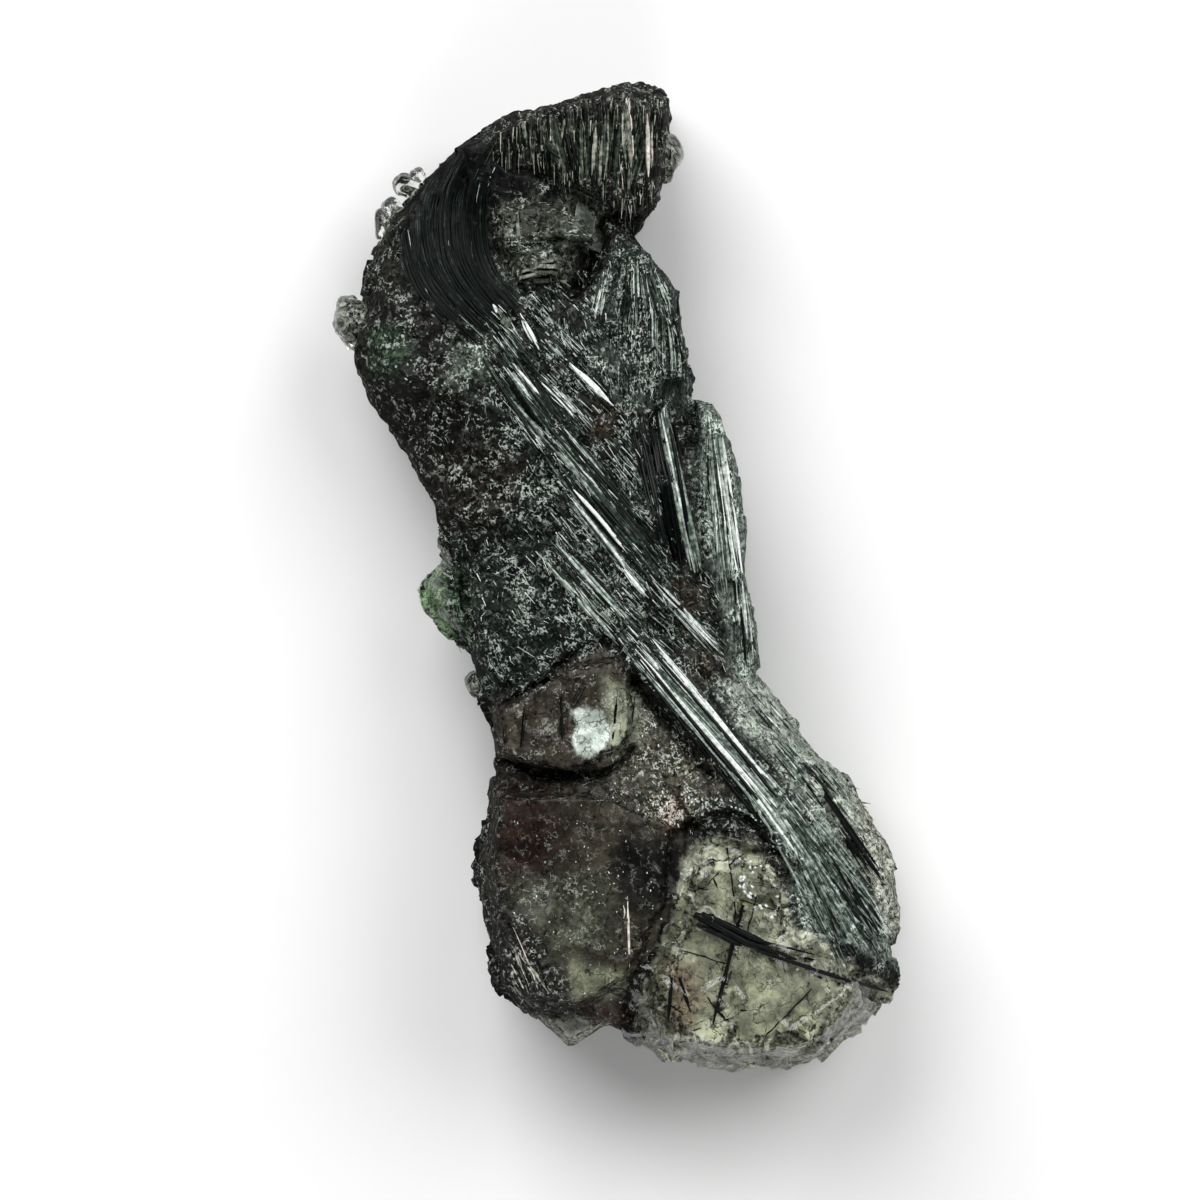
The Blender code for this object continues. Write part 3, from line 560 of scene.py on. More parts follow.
class Wire:
    """A socket of a node tree. Sums and products of wires and numbers add the Math nodes for them."""

    def __init__(self, tree, socket=None):
        self.tree = tree
        self.socket = socket

    def add(self, kind, sockets=None, out=0, **settings):
        """A node of this kind, with its settings, then the values or wires of its sockets."""
        node = self.tree.nodes.new(kind)
        stops = settings.pop("stops", ())
        for k, (place, colour) in enumerate(stops):
            ramp = node.color_ramp.elements
            stop = ramp[0] if k == 0 else ramp[-1] if k == len(stops) - 1 else ramp.new(place)
            stop.position = place
            stop.color = (*colour, 1)
        for name, value in settings.items():
            setattr(node, name, value)
        for name, value in (sockets or {}).items():
            self.feed(node.inputs[name], value)
        return Wire(self.tree, node.outputs[out])

    def feed(self, socket, value):
        """Links a wire to a socket, or gives the socket a plain value or colour."""
        if isinstance(value, Wire):
            self.tree.links.new(value.socket, socket)
        elif isinstance(value, tuple) and socket.type == "RGBA":
            socket.default_value = (*value, 1)
        else:
            socket.default_value = value

    def beside(self, name):
        """Another output of this wire's node."""
        return Wire(self.tree, self.socket.node.outputs[name])

    def maths(self, operation, a, b=0.0, clamp=False):
        return self.add("ShaderNodeMath", {0: a, 1: b}, operation=operation, use_clamp=clamp)

    def __add__(self, other):
        return self.maths("ADD", self, other)

    __radd__ = __add__

    def __mul__(self, other):
        return self.maths("MULTIPLY", self, other)

    __rmul__ = __mul__

    def __sub__(self, other):
        return self.maths("SUBTRACT", self, other)

    def __rsub__(self, other):
        return self.maths("SUBTRACT", other, self)

    def vector(self, operation, other=None, scale=None):
        """Vector Math of this wire with another vector, or with a number for SCALE."""
        sockets = {} if other is None else {1: other}
        if scale is not None:
            sockets[3] = scale
        return self.add("ShaderNodeVectorMath", {0: self, **sockets}, operation=operation)

    def between_by_chance(self, low, high, seed):
        """A random number for each instance."""
        return self.add("FunctionNodeRandomValue", {2: low, 3: high, 8: seed}, out=1)

    def between(self, low, high):
        """0 at low, 1 at high, and smooth between them."""
        return self.add(
            "ShaderNodeMapRange", {0: self, 1: low, 2: high}, interpolation_type="SMOOTHSTEP"
        )

    def near(self, middle, low, high):
        """1 where this wire is within low of the middle, and 0 further than high from it."""
        return 1 - self.maths("ABSOLUTE", self - middle).between(low, high)

    def mix(self, a, b):
        """Colour a where this wire is 0 and colour b where it is 1."""
        return self.add("ShaderNodeMix", {0: self, 6: a, 7: b}, out=2, data_type="RGBA")

    def scaled(self, colour):
        """A colour times this wire."""
        grey = self.add("ShaderNodeCombineColor", {0: self, 1: self, 2: self})
        return self.add(
            "ShaderNodeMix", {0: 1.0, 6: colour, 7: grey}, out=2, data_type="RGBA", blend_type="MULTIPLY"
        )


def geometry_tree(name, sockets):
    """A geometry tree with these named inputs, and the wires of its inputs by name."""
    tree = bpy.data.node_groups.new(name, "GeometryNodeTree")
    tree.interface.new_socket(name="Geometry", in_out="INPUT", socket_type="NodeSocketGeometry")
    for label, kind in sockets.items():
        tree.interface.new_socket(name=label, in_out="INPUT", socket_type=f"NodeSocket{kind}")
    tree.interface.new_socket(name="Geometry", in_out="OUTPUT", socket_type="NodeSocketGeometry")
    entry = tree.nodes.new("NodeGroupInput")
    return Wire(tree), {socket.name: Wire(tree, socket) for socket in entry.outputs if socket.name}


def close_tree(wire, grown, material):
    """Ends a tree: what it grew is made real and gets its material."""
    real = wire.add("GeometryNodeRealizeInstances", {"Geometry": grown})
    painted = wire.add("GeometryNodeSetMaterial", {"Geometry": real, "Material": material})
    leave = wire.tree.nodes.new("NodeGroupOutput")
    wire.tree.links.new(painted.socket, leave.inputs[0])
    return wire.tree


def strewn_tree(name, shape):
    """Small shapes strewn over a skin: each lies along it, near one direction, at its own size and tone."""
    wire, given = geometry_tree(name, {
        "Density": "Float", "Shortest": "Float", "Longest": "Float", "Breadth": "Float",
        "Direction": "Vector", "Scatter": "Float", "Swirl": "Float", "Rise": "Float",
        "Darkest": "Float", "Palest": "Float", "Darkness": "Float", "Seed": "Int", "Material": "Material",
    })
    tufts = wire.add("ShaderNodeTexNoise", {"Scale": 1 / (0.7 * MM), "Detail": 2.0}).between(0.42, 0.60)
    points = wire.add(
        "GeometryNodeDistributePointsOnFaces",
        {"Mesh": given["Geometry"], "Density": given["Density"] * tufts * 2.0, "Seed": given["Seed"]},
    )
    normal = points.beside("Normal")
    chance = wire.add("FunctionNodeRandomValue", {0: (-1, -1, -1), 1: (1, 1, 1), 8: given["Seed"]},
                      data_type="FLOAT_VECTOR")
    drift = wire.add("ShaderNodeTexNoise", {"Scale": 1 / (1.7 * MM), "Detail": 1.0}, out=1)
    swirl = drift.vector("SUBTRACT", (0.5, 0.5, 0.5)).vector("SCALE", None, given["Swirl"])
    leaning = given["Direction"].vector("ADD", swirl)
    turned = leaning.vector("ADD", chance.vector("SCALE", None, given["Scatter"]))
    flat = turned.vector("SUBTRACT", turned.vector("PROJECT", normal)).vector("NORMALIZE")
    risen = flat.vector("ADD", normal.vector("SCALE", None, given["Rise"]))
    facing = wire.add("FunctionNodeAxesToRotation", {0: risen, 1: normal},
                      primary_axis="Z", secondary_axis="X")
    long = wire.between_by_chance(given["Shortest"], given["Longest"], given["Seed"] + 1)
    broad = wire.between_by_chance(0.5, 1.1, given["Seed"] + 2) * given["Breadth"]
    size = wire.add("ShaderNodeCombineXYZ", {0: broad, 1: broad, 2: long})
    placed = wire.add(
        "GeometryNodeInstanceOnPoints",
        {"Points": points, "Instance": shape(wire), "Rotation": facing, "Scale": size},
    )
    luck = wire.between_by_chance(0.0, 1.0, given["Seed"] + 3)
    pale = wire.maths("POWER", luck, given["Darkness"])
    tone = pale * (given["Palest"] - given["Darkest"]) + given["Darkest"]
    toned = wire.add(
        "GeometryNodeStoreNamedAttribute", {"Geometry": placed, "Name": "tone", "Value": tone},
        data_type="FLOAT", domain="INSTANCE",
    )
    return close_tree(wire, toned, given["Material"])


def needle_shape(wire):
    return wire.add(
        "GeometryNodeMeshCone", {"Vertices": 4, "Radius Top": 0.3, "Radius Bottom": 1.0, "Depth": 1.0}
    )


def grain_shape(wire):
    return wire.add("GeometryNodeMeshIcoSphere", {"Radius": 1.0, "Subdivisions": 1})


def route_tree():
    """Needles along lines of points, as broad at each point as its breadth says."""
    wire, given = geometry_tree("needles_on_routes", {"Sides": "Int", "Material": "Material"})
    line = wire.add("GeometryNodeMeshToCurve", {"Mesh": given["Geometry"]})
    breadth = wire.add("GeometryNodeInputNamedAttribute", {"Name": "breadth"}, data_type="FLOAT")
    profile = wire.add("GeometryNodeCurvePrimitiveCircle", {"Resolution": given["Sides"], "Radius": 1.0})
    needles = wire.add(
        "GeometryNodeCurveToMesh",
        {"Curve": line, "Profile Curve": profile, "Scale": breadth, "Fill Caps": True},
    )
    return close_tree(wire, needles, given["Material"])


def grow(host, tree, values):
    """Runs a tree on a host, with its inputs set by their identifiers, and keeps the result as a mesh."""
    growth = host.modifiers.new(tree.name, "NODES")
    growth.node_group = tree
    for item in tree.interface.items_tree:
        if item.in_out == "INPUT" and item.name in values:
            growth[item.identifier] = values[item.name]
    return settle(host)


class Front:
    """The finished front of the crystal, on which needles are laid."""

    def __init__(self, body):
        self.mesh = body.data
        bm = bmesh.new()
        bm.from_mesh(self.mesh)
        self.tree = BVHTree.FromBMesh(bm)
        bm.free()

    def height(self, x, y):
        hit = self.tree.ray_cast(Vector((x * MM, y * MM, 0.1)), Vector((0, 0, -1)))[0]
        return hit.z / MM if hit else None

    def patch(self, name, outline):
        """A piece of the front's own skin inside an outline, as a host for what grows there."""
        mesh = self.mesh
        corners = values_of(mesh.loops, "vertex_index", np.int32, 1).reshape(-1, 3)
        centres = values_of(mesh.polygons, "center").astype(float) / MM
        facing = values_of(mesh.polygons, "normal")
        inside = depth_inside(centres[:, :2], outline) > 0
        faces = corners[inside & (facing[:, 2] > STEEPEST_HOST)]
        used, renumbered = np.unique(faces, return_inverse=True)
        host = bpy.data.meshes.new(name)
        host.from_pydata((points_of(mesh)[used] * MM).tolist(), [], renumbered.reshape(-1, 3).tolist())
        return put_in_scene(name, host)


Needle = namedtuple("Needle", "places breadths tone")


def eased(heights, floor):
    """Heights along a stiff needle: the bumps under it are bridged, and none stands through it."""
    heights = np.array(heights)
    for _ in range(3):
        padded = np.concatenate((heights[:1], heights, heights[-1:]))
        heights = (padded[:-2] + 2 * padded[1:-1] + padded[2:]) / 4
    return np.maximum(heights, floor)


def lay(front, route, breadth, tone, lift):
    """A needle laid on the front along a route of x, y points, cut where it would stand clear of the
    crystal, or None where too little of it lies on the crystal."""
    ground = [front.height(x, y) for x, y in route]
    if None in ground:
        return None
    ground = np.array(ground)
    heights = eased(ground, ground - 0.8 * breadth) + lift
    loose = np.flatnonzero(heights - ground > LOOSE + 1.5 * breadth)
    bounds = np.concatenate(([-1], loose, [len(route)]))
    widest = np.argmax(np.diff(bounds))
    first, last = bounds[widest] + 1, bounds[widest + 1]
    if last - first < 3:
        return None
    share = np.linspace(0, 1, last - first)
    taper = np.minimum(1, np.minimum(0.25 + 5 * share, 0.2 + 5 * (1 - share)))
    places = [(x, y, z) for (x, y), z in zip(route[first:last], heights[first:last])]
    return Needle(places, breadth * taper, tone)


def straight(start, end, bow=0.0, step=0.6):
    """Points from start to end, bent sideways by bow at the middle."""
    start, end = np.array(start), np.array(end)
    line = end - start
    length = np.hypot(*line)
    side = np.array((line[1], -line[0])) / length
    share = np.linspace(0, 1, max(4, int(length / step) + 1))[:, None]
    return start + share * line + side * bow * np.sin(math.pi * share)


def through(points, count):
    """A smooth line of that many points through given ones."""
    points = np.array(points, float)
    ends = np.vstack((2 * points[0] - points[1], points, 2 * points[-1] - points[-2]))
    made = []
    for t in np.linspace(0, len(points) - 1.001, count):
        k, u = int(t), t - int(t)
        a, b, c, d = ends[k:k + 4]
        made.append(b + 0.5 * u * (c - a + u * (2 * a - 5 * b + 4 * c - d + u * (3 * (b - c) + d - a))))
    return np.array(made)


def bundle(front, start, end, wide_start, wide_end, count, breadth, tones, stagger=0.3, bow=0.06):
    """Needles side by side from start to end, staggered, each a little bent and of its own tone."""
    chance = random.Random(f"{start}{end}{count}")
    line = np.array(end) - np.array(start)
    side = np.array((line[1], -line[0])) / np.hypot(*line)
    laid = []
    for _ in range(count):
        offset = chance.uniform(-0.5, 0.5)
        first = np.array(start) + side * offset * wide_start + line * chance.uniform(0, stagger)
        last = np.array(end) + side * offset * wide_end - line * chance.uniform(0, stagger)
        size = breadth * (0.5 + 1.5 * chance.random() ** 3)
        tone = tones[0] + (tones[1] - tones[0]) * chance.random()
        route = straight(first, last, chance.uniform(-bow, bow))
        laid.append(lay(front, route, size, tone, lift=size * chance.uniform(0.1, 0.8)))
    return laid


def sweep(front, left, right, count, breadth, tones, wander=0.12):
    """Bent fibres between a left and a right guide line."""
    chance = random.Random(f"{left}{count}")
    guides = through(left, SWEEP_POINTS), through(right, SWEEP_POINTS)
    laid = []
    for _ in range(count):
        share = chance.random()
        route = guides[0] * (1 - share) + guides[1] * share
        phase, sway = chance.uniform(0, 6), chance.uniform(0, wander)
        turn = np.linspace(phase, phase + 5, SWEEP_POINTS)
        route = route + sway * np.column_stack((np.sin(turn), 0.3 * np.cos(turn)))
        first = chance.randrange(0, SWEEP_POINTS // 2)
        last = chance.randrange(SWEEP_POINTS // 2 + 2, SWEEP_POINTS + 1)
        size = breadth * chance.uniform(0.4, 1.2)
        tone = tones[0] + (tones[1] - tones[0]) * chance.random() ** 7
        laid.append(lay(front, route[first:last], size, tone, lift=size * chance.uniform(0.1, 0.7)))
    return laid


def needles_piece(name, needles, tree, material):
    """One piece of all these needles, grown by the tree along their routes."""
    needles = [needle for needle in needles if needle]
    places = [place for needle in needles for place in needle.places]
    links, start = [], 0
    for needle in needles:
        links.extend((k, k + 1) for k in range(start, start + len(needle.places) - 1))
        start += len(needle.places)
    mesh = bpy.data.meshes.new(name)
    mesh.from_pydata([Vector(place) * MM for place in places], links, [])
    breadths = np.concatenate([needle.breadths for needle in needles]) * MM
    tones = np.concatenate([np.full(len(needle.places), needle.tone) for needle in needles])
    for label, values in (("breadth", breadths), ("tone", tones)):
        mesh.attributes.new(label, "FLOAT", "POINT").data.foreach_set("value", values.astype(np.float32))
    return grow(put_in_scene(name, mesh), tree, {"Sides": NEEDLE_SIDES, "Material": material})


# Needles in bundles, in rows as bundle takes them: ends, widths there, number, breadth and tones
BUNDLES = {
    "slanting_needles": (
        ((-4.12, 10.9), (-3.0, 8.7), 0.12, 0.16, 3, 0.090, (0.95, 1.0)),
        ((-5.0, 11.1), (-4.75, 10.4), 0.12, 0.10, 2, 0.080, (0.95, 1.0)),
        ((-4.7, 10.7), (-3.9, 9.3), 0.30, 0.30, 4, 0.045, (0.6, 1.0)),
        ((-4.7, 9.9), (-3.7, 8.6), 0.60, 0.60, 8, 0.040, (0.4, 1.0)),
        ((-2.15, 8.75), (0.0, 6.7), 0.12, 0.12, 4, 0.070, (0.95, 1.0)),
        ((-2.9, 9.5), (-2.1, 8.7), 0.15, 0.10, 2, 0.050, (0.7, 1.0)),
        ((-5.0, 9.4), (-2.0, 5.0), 1.6, 1.8, 70, 0.045, (0.0, 0.6)),
        ((-2.6, 5.6), (2.2, -0.4), 1.5, 1.6, 70, 0.045, (0.0, 0.6)),
        ((-3.9, 7.4), (0.4, 2.4), 1.0, 0.9, 36, 0.045, (0.0, 0.9)),
        ((-3.2, 1.6), (0.5, -2.5), 1.1, 1.1, 36, 0.042, (0.0, 0.85)),
        ((-4.5, 8.6), (-2.9, 6.7), 0.45, 0.50, 14, 0.038, (0.6, 1.0)),
        ((-3.2, 8.1), (-1.0, 5.8), 0.35, 0.45, 12, 0.036, (0.5, 1.0)),
        ((-4.2, 6.5), (-2.6, 4.6), 0.20, 0.25, 5, 0.045, (0.7, 1.0)),
        ((-3.6, 6.6), (-0.2, 3.0), 0.50, 0.50, 12, 0.036, (0.5, 1.0)),
        ((-2.4, 5.0), (0.3, 2.5), 0.45, 0.45, 12, 0.038, (0.7, 1.0)),
        ((-1.95, 3.75), (1.3, -0.1), 0.24, 0.24, 6, 0.055, (0.95, 1.0)),
        ((-2.1, 3.3), (0.9, -0.5), 0.55, 0.5, 12, 0.038, (0.4, 1.0)),
        ((-2.0, 3.9), (1.2, 0.2), 0.60, 0.6, 10, 0.050, (0.0, 0.05)),
        ((0.2, 0.6), (1.6, -1.1), 0.50, 0.40, 6, 0.050, (0.6, 1.0)),
        ((1.0, 0.2), (4.2, -3.2), 0.50, 0.60, 16, 0.036, (0.1, 1.0)),
        ((-2.0, -0.1), (-0.6, -1.9), 0.5, 0.5, 9, 0.042, (0.5, 1.0)),
    ),
    "strong_band": (
        ((0.1, -2.2), (6.9, -9.9), 0.9, 1.3, 50, 0.050, (0.35, 1.0)),
        ((0.6, -2.6), (6.6, -9.9), 1.0, 1.4, 30, 0.052, (0.0, 0.05)),
        ((0.3, -2.1), (5.8, -8.2), 0.35, 0.40, 10, 0.040, (0.9, 1.0)),
        ((1.3, -2.5), (6.0, -8.3), 0.30, 0.40, 10, 0.040, (0.9, 1.0)),
        ((0.5, -2.9), (6.2, -9.5), 0.30, 0.40, 8, 0.038, (0.85, 1.0)),
        ((5.0, -7.6), (7.6, -11.0), 1.2, 1.6, 24, 0.045, (0.5, 1.0)),
    ),
    "fan_needles": (
        ((6.3, -8.9), (10.6, -15.8), 1.8, 2.9, 90, 0.036, (0.34, 0.86), 0.5, 0.12),
        ((7.0, -7.6), (10.4, -12.6), 0.9, 1.2, 12, 0.050, (0.0, 0.1)),
        ((8.6, -11.0), (11.2, -15.6), 0.8, 1.0, 10, 0.055, (0.0, 0.06)),
        ((7.4, -11.0), (10.6, -15.9), 1.6, 2.2, 16, 0.040, (0.0, 0.06), 0.6),
        ((6.0, -5.6), (9.6, -9.8), 1.6, 1.6, 40, 0.036, (0.2, 0.95)),
        ((5.0, -4.6), (8.4, -8.4), 1.2, 1.4, 30, 0.036, (0.1, 0.95)),
    ),
    "top_blades": (
        ((0.35, 19.2), (0.55, 16.3), 0.35, 0.40, 10, 0.060, (0.6, 0.95)),
        ((1.30, 19.0), (1.35, 16.0), 0.35, 0.30, 8, 0.055, (0.5, 0.9)),
        ((-0.9, 18.6), (-1.0, 15.4), 1.2, 1.0, 26, 0.055, (0.2, 0.8)),
        ((-2.6, 18.4), (-2.7, 17.0), 0.5, 0.5, 8, 0.050, (0.4, 0.9)),
        ((-2.9, 19.0), (-2.9, 16.6), 3.0, 2.4, 70, 0.045, (0.0, 0.66), 0.45),
        ((-0.8, 19.2), (-0.7, 15.2), 4.6, 3.0, 120, 0.06, (0.0, 0.62), 0.45),
    ),
    "upright_needles": (
        ((1.80, 6.8), (3.25, 0.1), 0.34, 0.46, 26, 0.050, (0.50, 0.95), 0.06, 0.02),
        ((1.70, 6.9), (2.90, 0.2), 1.10, 1.00, 20, 0.07, (0.0, 0.1), 0.2),
        ((0.9, 13.2), (1.2, 9.6), 1.4, 2.6, 110, 0.030, (0.0, 0.85), 0.55),
        ((2.55, 11.4), (2.7, 9.0), 0.5, 0.6, 22, 0.060, (0.0, 0.08), 0.3, 0.02),
        ((1.9, 11.4), (2.2, 7.4), 1.2, 1.8, 60, 0.030, (0.0, 0.8), 0.6),
        ((-0.3, 12.8), (-0.9, 10.2), 0.4, 0.5, 14, 0.040, (0.4, 1.0), 0.6),
        ((0.8, 12.6), (0.9, 10.6), 0.4, 0.5, 8, 0.038, (0.5, 1.0)),
        ((3.8, 6.8), (4.8, -1.0), 0.8, 1.1, 90, 0.034, (0.1, 1.0), 0.6),
        ((4.9, 0.4), (5.3, -3.8), 0.6, 0.7, 40, 0.034, (0.1, 1.0), 0.6),
        ((1.1, 6.8), (2.4, 0.4), 1.6, 1.2, 30, 0.05, (0.0, 0.3)),
    ),
    "smoky_needles": (
        ((0.43, -12.8), (0.52, -15.9), 0.03, 0.03, 3, 0.040, (0.80, 0.95), 0.10, 0.03),
        ((0.25, -13.2), (0.27, -13.8), 0.02, 0.02, 1, 0.030, (0.80, 0.90)),
        ((0.95, -14.2), (1.55, -14.9), 0.02, 0.02, 2, 0.050, (0.0, 0.02)),
        ((-3.70, -5.0), (-3.90, -7.4), 0.30, 0.20, 3, 0.030, (0.0, 0.05)),
        ((-2.30, -4.4), (-2.20, -7.3), 0.15, 0.15, 3, 0.032, (0.0, 0.05)),
        ((0.05, -4.6), (-0.20, -7.2), 0.05, 0.08, 2, 0.030, (0.0, 0.02)),
        ((0.75, -4.7), (0.50, -6.8), 0.05, 0.10, 2, 0.028, (0.0, 0.02)),
        ((-4.60, -5.6), (-4.40, -7.2), 0.10, 0.10, 2, 0.030, (0.0, 0.05)),
        ((-1.10, -3.9), (-1.90, -5.5), 0.30, 0.20, 4, 0.028, (0.0, 0.05)),
        ((-4.60, -14.2), (-2.60, -18.4), 1.8, 1.0, 34, 0.026, (0.3, 0.95), 0.75),
        ((-4.20, -14.4), (-2.40, -18.6), 1.6, 0.9, 22, 0.034, (0.0, 0.1), 0.6),
    ),
}

# Flat flakes that lie on the front: corners, thickness and colour
Flake = namedtuple("Flake", "corners thickness tint")
FLAKES = (
    Flake(((-1.6, 15.1), (-1.2, 15.2), (-0.85, 14.6), (-0.9, 13.9), (-1.2, 13.6), (-1.55, 13.9),
           (-1.7, 14.5)), 0.03, (0.20, 0.22, 0.19)),
    Flake(((-1.1, 14.1), (-0.7, 14.1), (-0.5, 13.6), (-0.7, 13.1), (-1.1, 13.2)), 0.03, (0.20, 0.22, 0.19)),
    Flake(((-4.10, 14.6), (-3.98, 14.7), (-3.88, 13.7), (-4.02, 13.6)), 0.08, (0.30, 0.32, 0.25)),
    Flake(((-3.9, 14.7), (-3.3, 14.8), (-3.25, 13.9), (-3.8, 13.7)), 0.05, (0.055, 0.058, 0.045)),
    Flake(((-2.6, 14.3), (-2.0, 14.5), (-1.9, 13.9), (-2.5, 13.7)), 0.05, (0.060, 0.062, 0.050)),
    Flake(((-4.7, 10.2), (-4.5, 10.5), (-4.2, 10.3), (-4.4, 9.9)), 0.08, (0.30, 0.34, 0.28)),
)

# Brown crystals: their places and their half sizes across and up the crystal, and the one out of the front
BROWN_LUMPS = ((-0.45, 6.05, 0.52, 0.60), (2.85, -0.8, 0.50, 0.42), (3.5, -3.7, 0.36, 0.60))
BROWN_LUMP_DEPTH = 0.30
BROWN = (0.034, 0.024, 0.014)


def stepped_leaves():
    """Long flat leaves in arched rows in the pocket, each row a step higher than the one under it."""
    chance = random.Random(51)
    leaves = []
    for row, (middle, count) in enumerate(((-2.7, 2), (-2.9, 3), (-2.8, 3), (-2.5, 2))):
        for k in range(count):
            bend = k - (count - 1) / 2
            turn = math.radians(-13 * bend + chance.uniform(-4, 4))
            x, y = middle + 0.66 * bend, 11.9 + 0.25 * row - 0.10 * bend * bend + chance.uniform(-0.04, 0.04)
            half = 0.40 * chance.uniform(0.8, 1.1), 0.08 * chance.uniform(0.7, 1.3)
            along = np.array((math.cos(turn), math.sin(turn)))
            across = np.array((-along[1], along[0]))
            corners = [np.array((x, y)) + a * half[0] * along + b * half[1] * across
                       for a, b in ((-1, -0.8), (0.9, -1), (1, 0.7), (-0.9, 1))]
            shade = chance.uniform(0.12, 0.36)
            leaves.append(Flake(corners, 0.26 - 0.02 * row, (shade, shade * 1.04, shade * 0.86)))
    return leaves


def look_layers(bm):
    """The layers of a colour for each point and of the shares that steer its grain."""
    return [bm.verts.layers.float_color.new(name) for name in ("tint", "grain")]


def flakes_piece(name, front, flakes):
    """Thin flakes, each lying flat on the mean slope of the front under its corners."""
    bm = bmesh.new()
    tint, grain = look_layers(bm)
    for flake in flakes:
        flat = np.array(flake.corners)
        heights = np.array([front.height(x, y) for x, y in flat])
        slope = np.linalg.lstsq(np.column_stack((flat, np.ones(len(flat)))), heights, rcond=None)[0]
        fitted = np.column_stack((flat, np.ones(len(flat)))) @ slope
        rings = []
        for lift, spread in ((-0.25, 1.0), (flake.thickness * 0.7, 1.0), (flake.thickness, 0.88)):
            ring = flat.mean(0) + (flat - flat.mean(0)) * spread
            rings.append([bm.verts.new(Vector((x, y, z + lift)) * MM) for (x, y), z in zip(ring, fitted)])
        for low, high in itertools.pairwise(rings):
            for k in range(len(low)):
                after = (k + 1) % len(low)
                bm.faces.new((low[k], low[after], high[after], high[k]))
        bm.faces.new(rings[-1])
        bm.faces.new(rings[0][::-1])
        for vert in itertools.chain(*rings):
            vert[tint] = (*flake.tint, 1.0)
            vert[grain] = (0.0, 0.1, 0.15, 0.62)
    bmesh.ops.recalc_face_normals(bm, faces=bm.faces)
    return mesh_object(name, bm)


def brown_lumps(front):
    """Rounded brown crystals between the needles."""
    bm = bmesh.new()
    tint, grain = look_layers(bm)
    for k, (x, y, wide, high) in enumerate(BROWN_LUMPS):
        middle = np.array((x, y, front.height(x, y) + 0.02))
        half = (wide, high, BROWN_LUMP_DEPTH)
        for vert in bumpy_ball(bm, middle, half, 5.0 * k, ((0.16, 0.7, 33), (0.05, 0.25, 34))):
            vert[tint] = (*BROWN, 1.0)
            vert[grain] = (0.0, 0.0, 0.45, 0.5)
    made = mesh_object("brown_lumps", bm)
    made.data.shade_smooth()
    return made


# Black needles in and on the clear end: start, end, breadth, depth under its face at each end, and tone
INCLUSIONS = (
    ((3.1, -13.55), (5.6, -14.95), 0.17, -0.20, -0.20, 0.0),
    ((3.4, -13.55), (6.1, -14.80), 0.15, -0.18, -0.18, 0.0),
    ((3.2, -13.95), (5.0, -14.85), 0.12, -0.15, -0.15, 0.0),
    ((4.2, -14.3), (7.2, -15.4), 0.11, -0.14, -0.12, 0.0),
    ((4.8, -14.4), (7.9, -15.2), 0.055, -0.06, -0.04, 0.0),
    ((5.6, -15.0), (9.4, -16.3), 0.095, -0.12, -0.10, 0.0),
    ((6.8, -15.4), (11.0, -16.9), 0.080, -0.10, -0.10, 0.0),
    ((7.4, -15.3), (10.6, -16.2), 0.050, 0.08, 0.08, 0.1),
    ((7.0, -14.7), (11.0, -15.6), 0.045, 0.08, 0.08, 0.0),
    ((7.9, -16.0), (10.4, -17.2), 0.060, 0.10, 0.10, 0.0),
    ((7.3, -15.6), (10.6, -17.4), 0.05, 0.05, 0.20, 0.0),
    ((5.05, -13.2), (3.85, -18.0), 0.085, -0.08, 0.10, 0.0),
    ((5.0, -13.5), (4.4, -15.6), 0.06, 0.05, 0.15, 0.0),
    ((2.2, -16.1), (2.05, -17.9), 0.085, -0.08, -0.05, 0.0),
    ((2.5, -16.1), (2.95, -17.5), 0.080, -0.08, -0.05, 0.0),
    ((3.3, -11.0), (4.5, -13.4), 0.035, 0.25, 0.40, 0.1),
    ((5.1, -11.2), (2.7, -13.0), 0.030, 0.30, 0.35, 0.1),
    ((4.4, -10.8), (4.9, -14.6), 0.035, 0.25, 0.30, 0.0),
    ((5.7, -12.2), (4.9, -15.6), 0.030, 0.35, 0.50, 0.1),
    ((6.3, -13.2), (6.9, -16.6), 0.030, 0.35, 0.60, 0.1),
    ((3.0, -12.4), (6.8, -13.6), 0.030, 0.40, 0.50, 0.1),
    ((2.6, -15.0), (6.4, -16.2), 0.030, 0.30, 0.60, 0.0),
    ((1.6, -16.8), (4.4, -19.0), 0.035, 0.20, 0.50, 0.0),
    ((1.2, -17.4), (2.8, -19.6), 0.055, 0.10, 0.30, 0.0),
    ((3.6, -16.9), (5.4, -19.2), 0.040, 0.30, 0.60, 0.0),
    ((7.8, -16.6), (5.6, -18.9), 0.035, 0.25, 0.55, 0.0),
    ((6.6, -16.2), (8.0, -19.0), 0.030, 0.40, 0.70, 0.1),
    ((8.6, -15.9), (9.9, -18.4), 0.035, 0.25, 0.40, 0.0),
    ((4.9, -17.4), (8.9, -17.9), 0.030, 0.40, 0.60, 0.0),
    ((2.9, -18.3), (6.0, -17.2), 0.030, 0.30, 0.50, 0.1),
    ((9.0, -17.2), (7.2, -19.6), 0.040, 0.20, 0.30, 0.0),
)


def lay_inside(front, start, end, breadth, depth_at_start, depth_at_end, tone):
    """A straight needle in a clear crystal, from one depth under its face to another, below 0 above it."""
    route = straight(start, end, step=0.4)
    tops = [front.height(x, y) for x, y in route]
    if None in tops:
        return None
    share = np.linspace(0, 1, len(route))
    heights = np.interp(share, (0, 1), (tops[0], tops[-1]))
    heights = np.minimum(0.5 * heights + 0.5 * eased(tops, np.full(len(tops), -1.0)), tops)
    heights -= breadth + depth_at_start + (depth_at_end - depth_at_start) * share
    taper = np.minimum(1, np.minimum(0.75 + 3 * share, 0.3 + 4 * (1 - share)))
    return Needle([(x, y, z) for (x, y), z in zip(route, heights)], breadth * taper, tone)


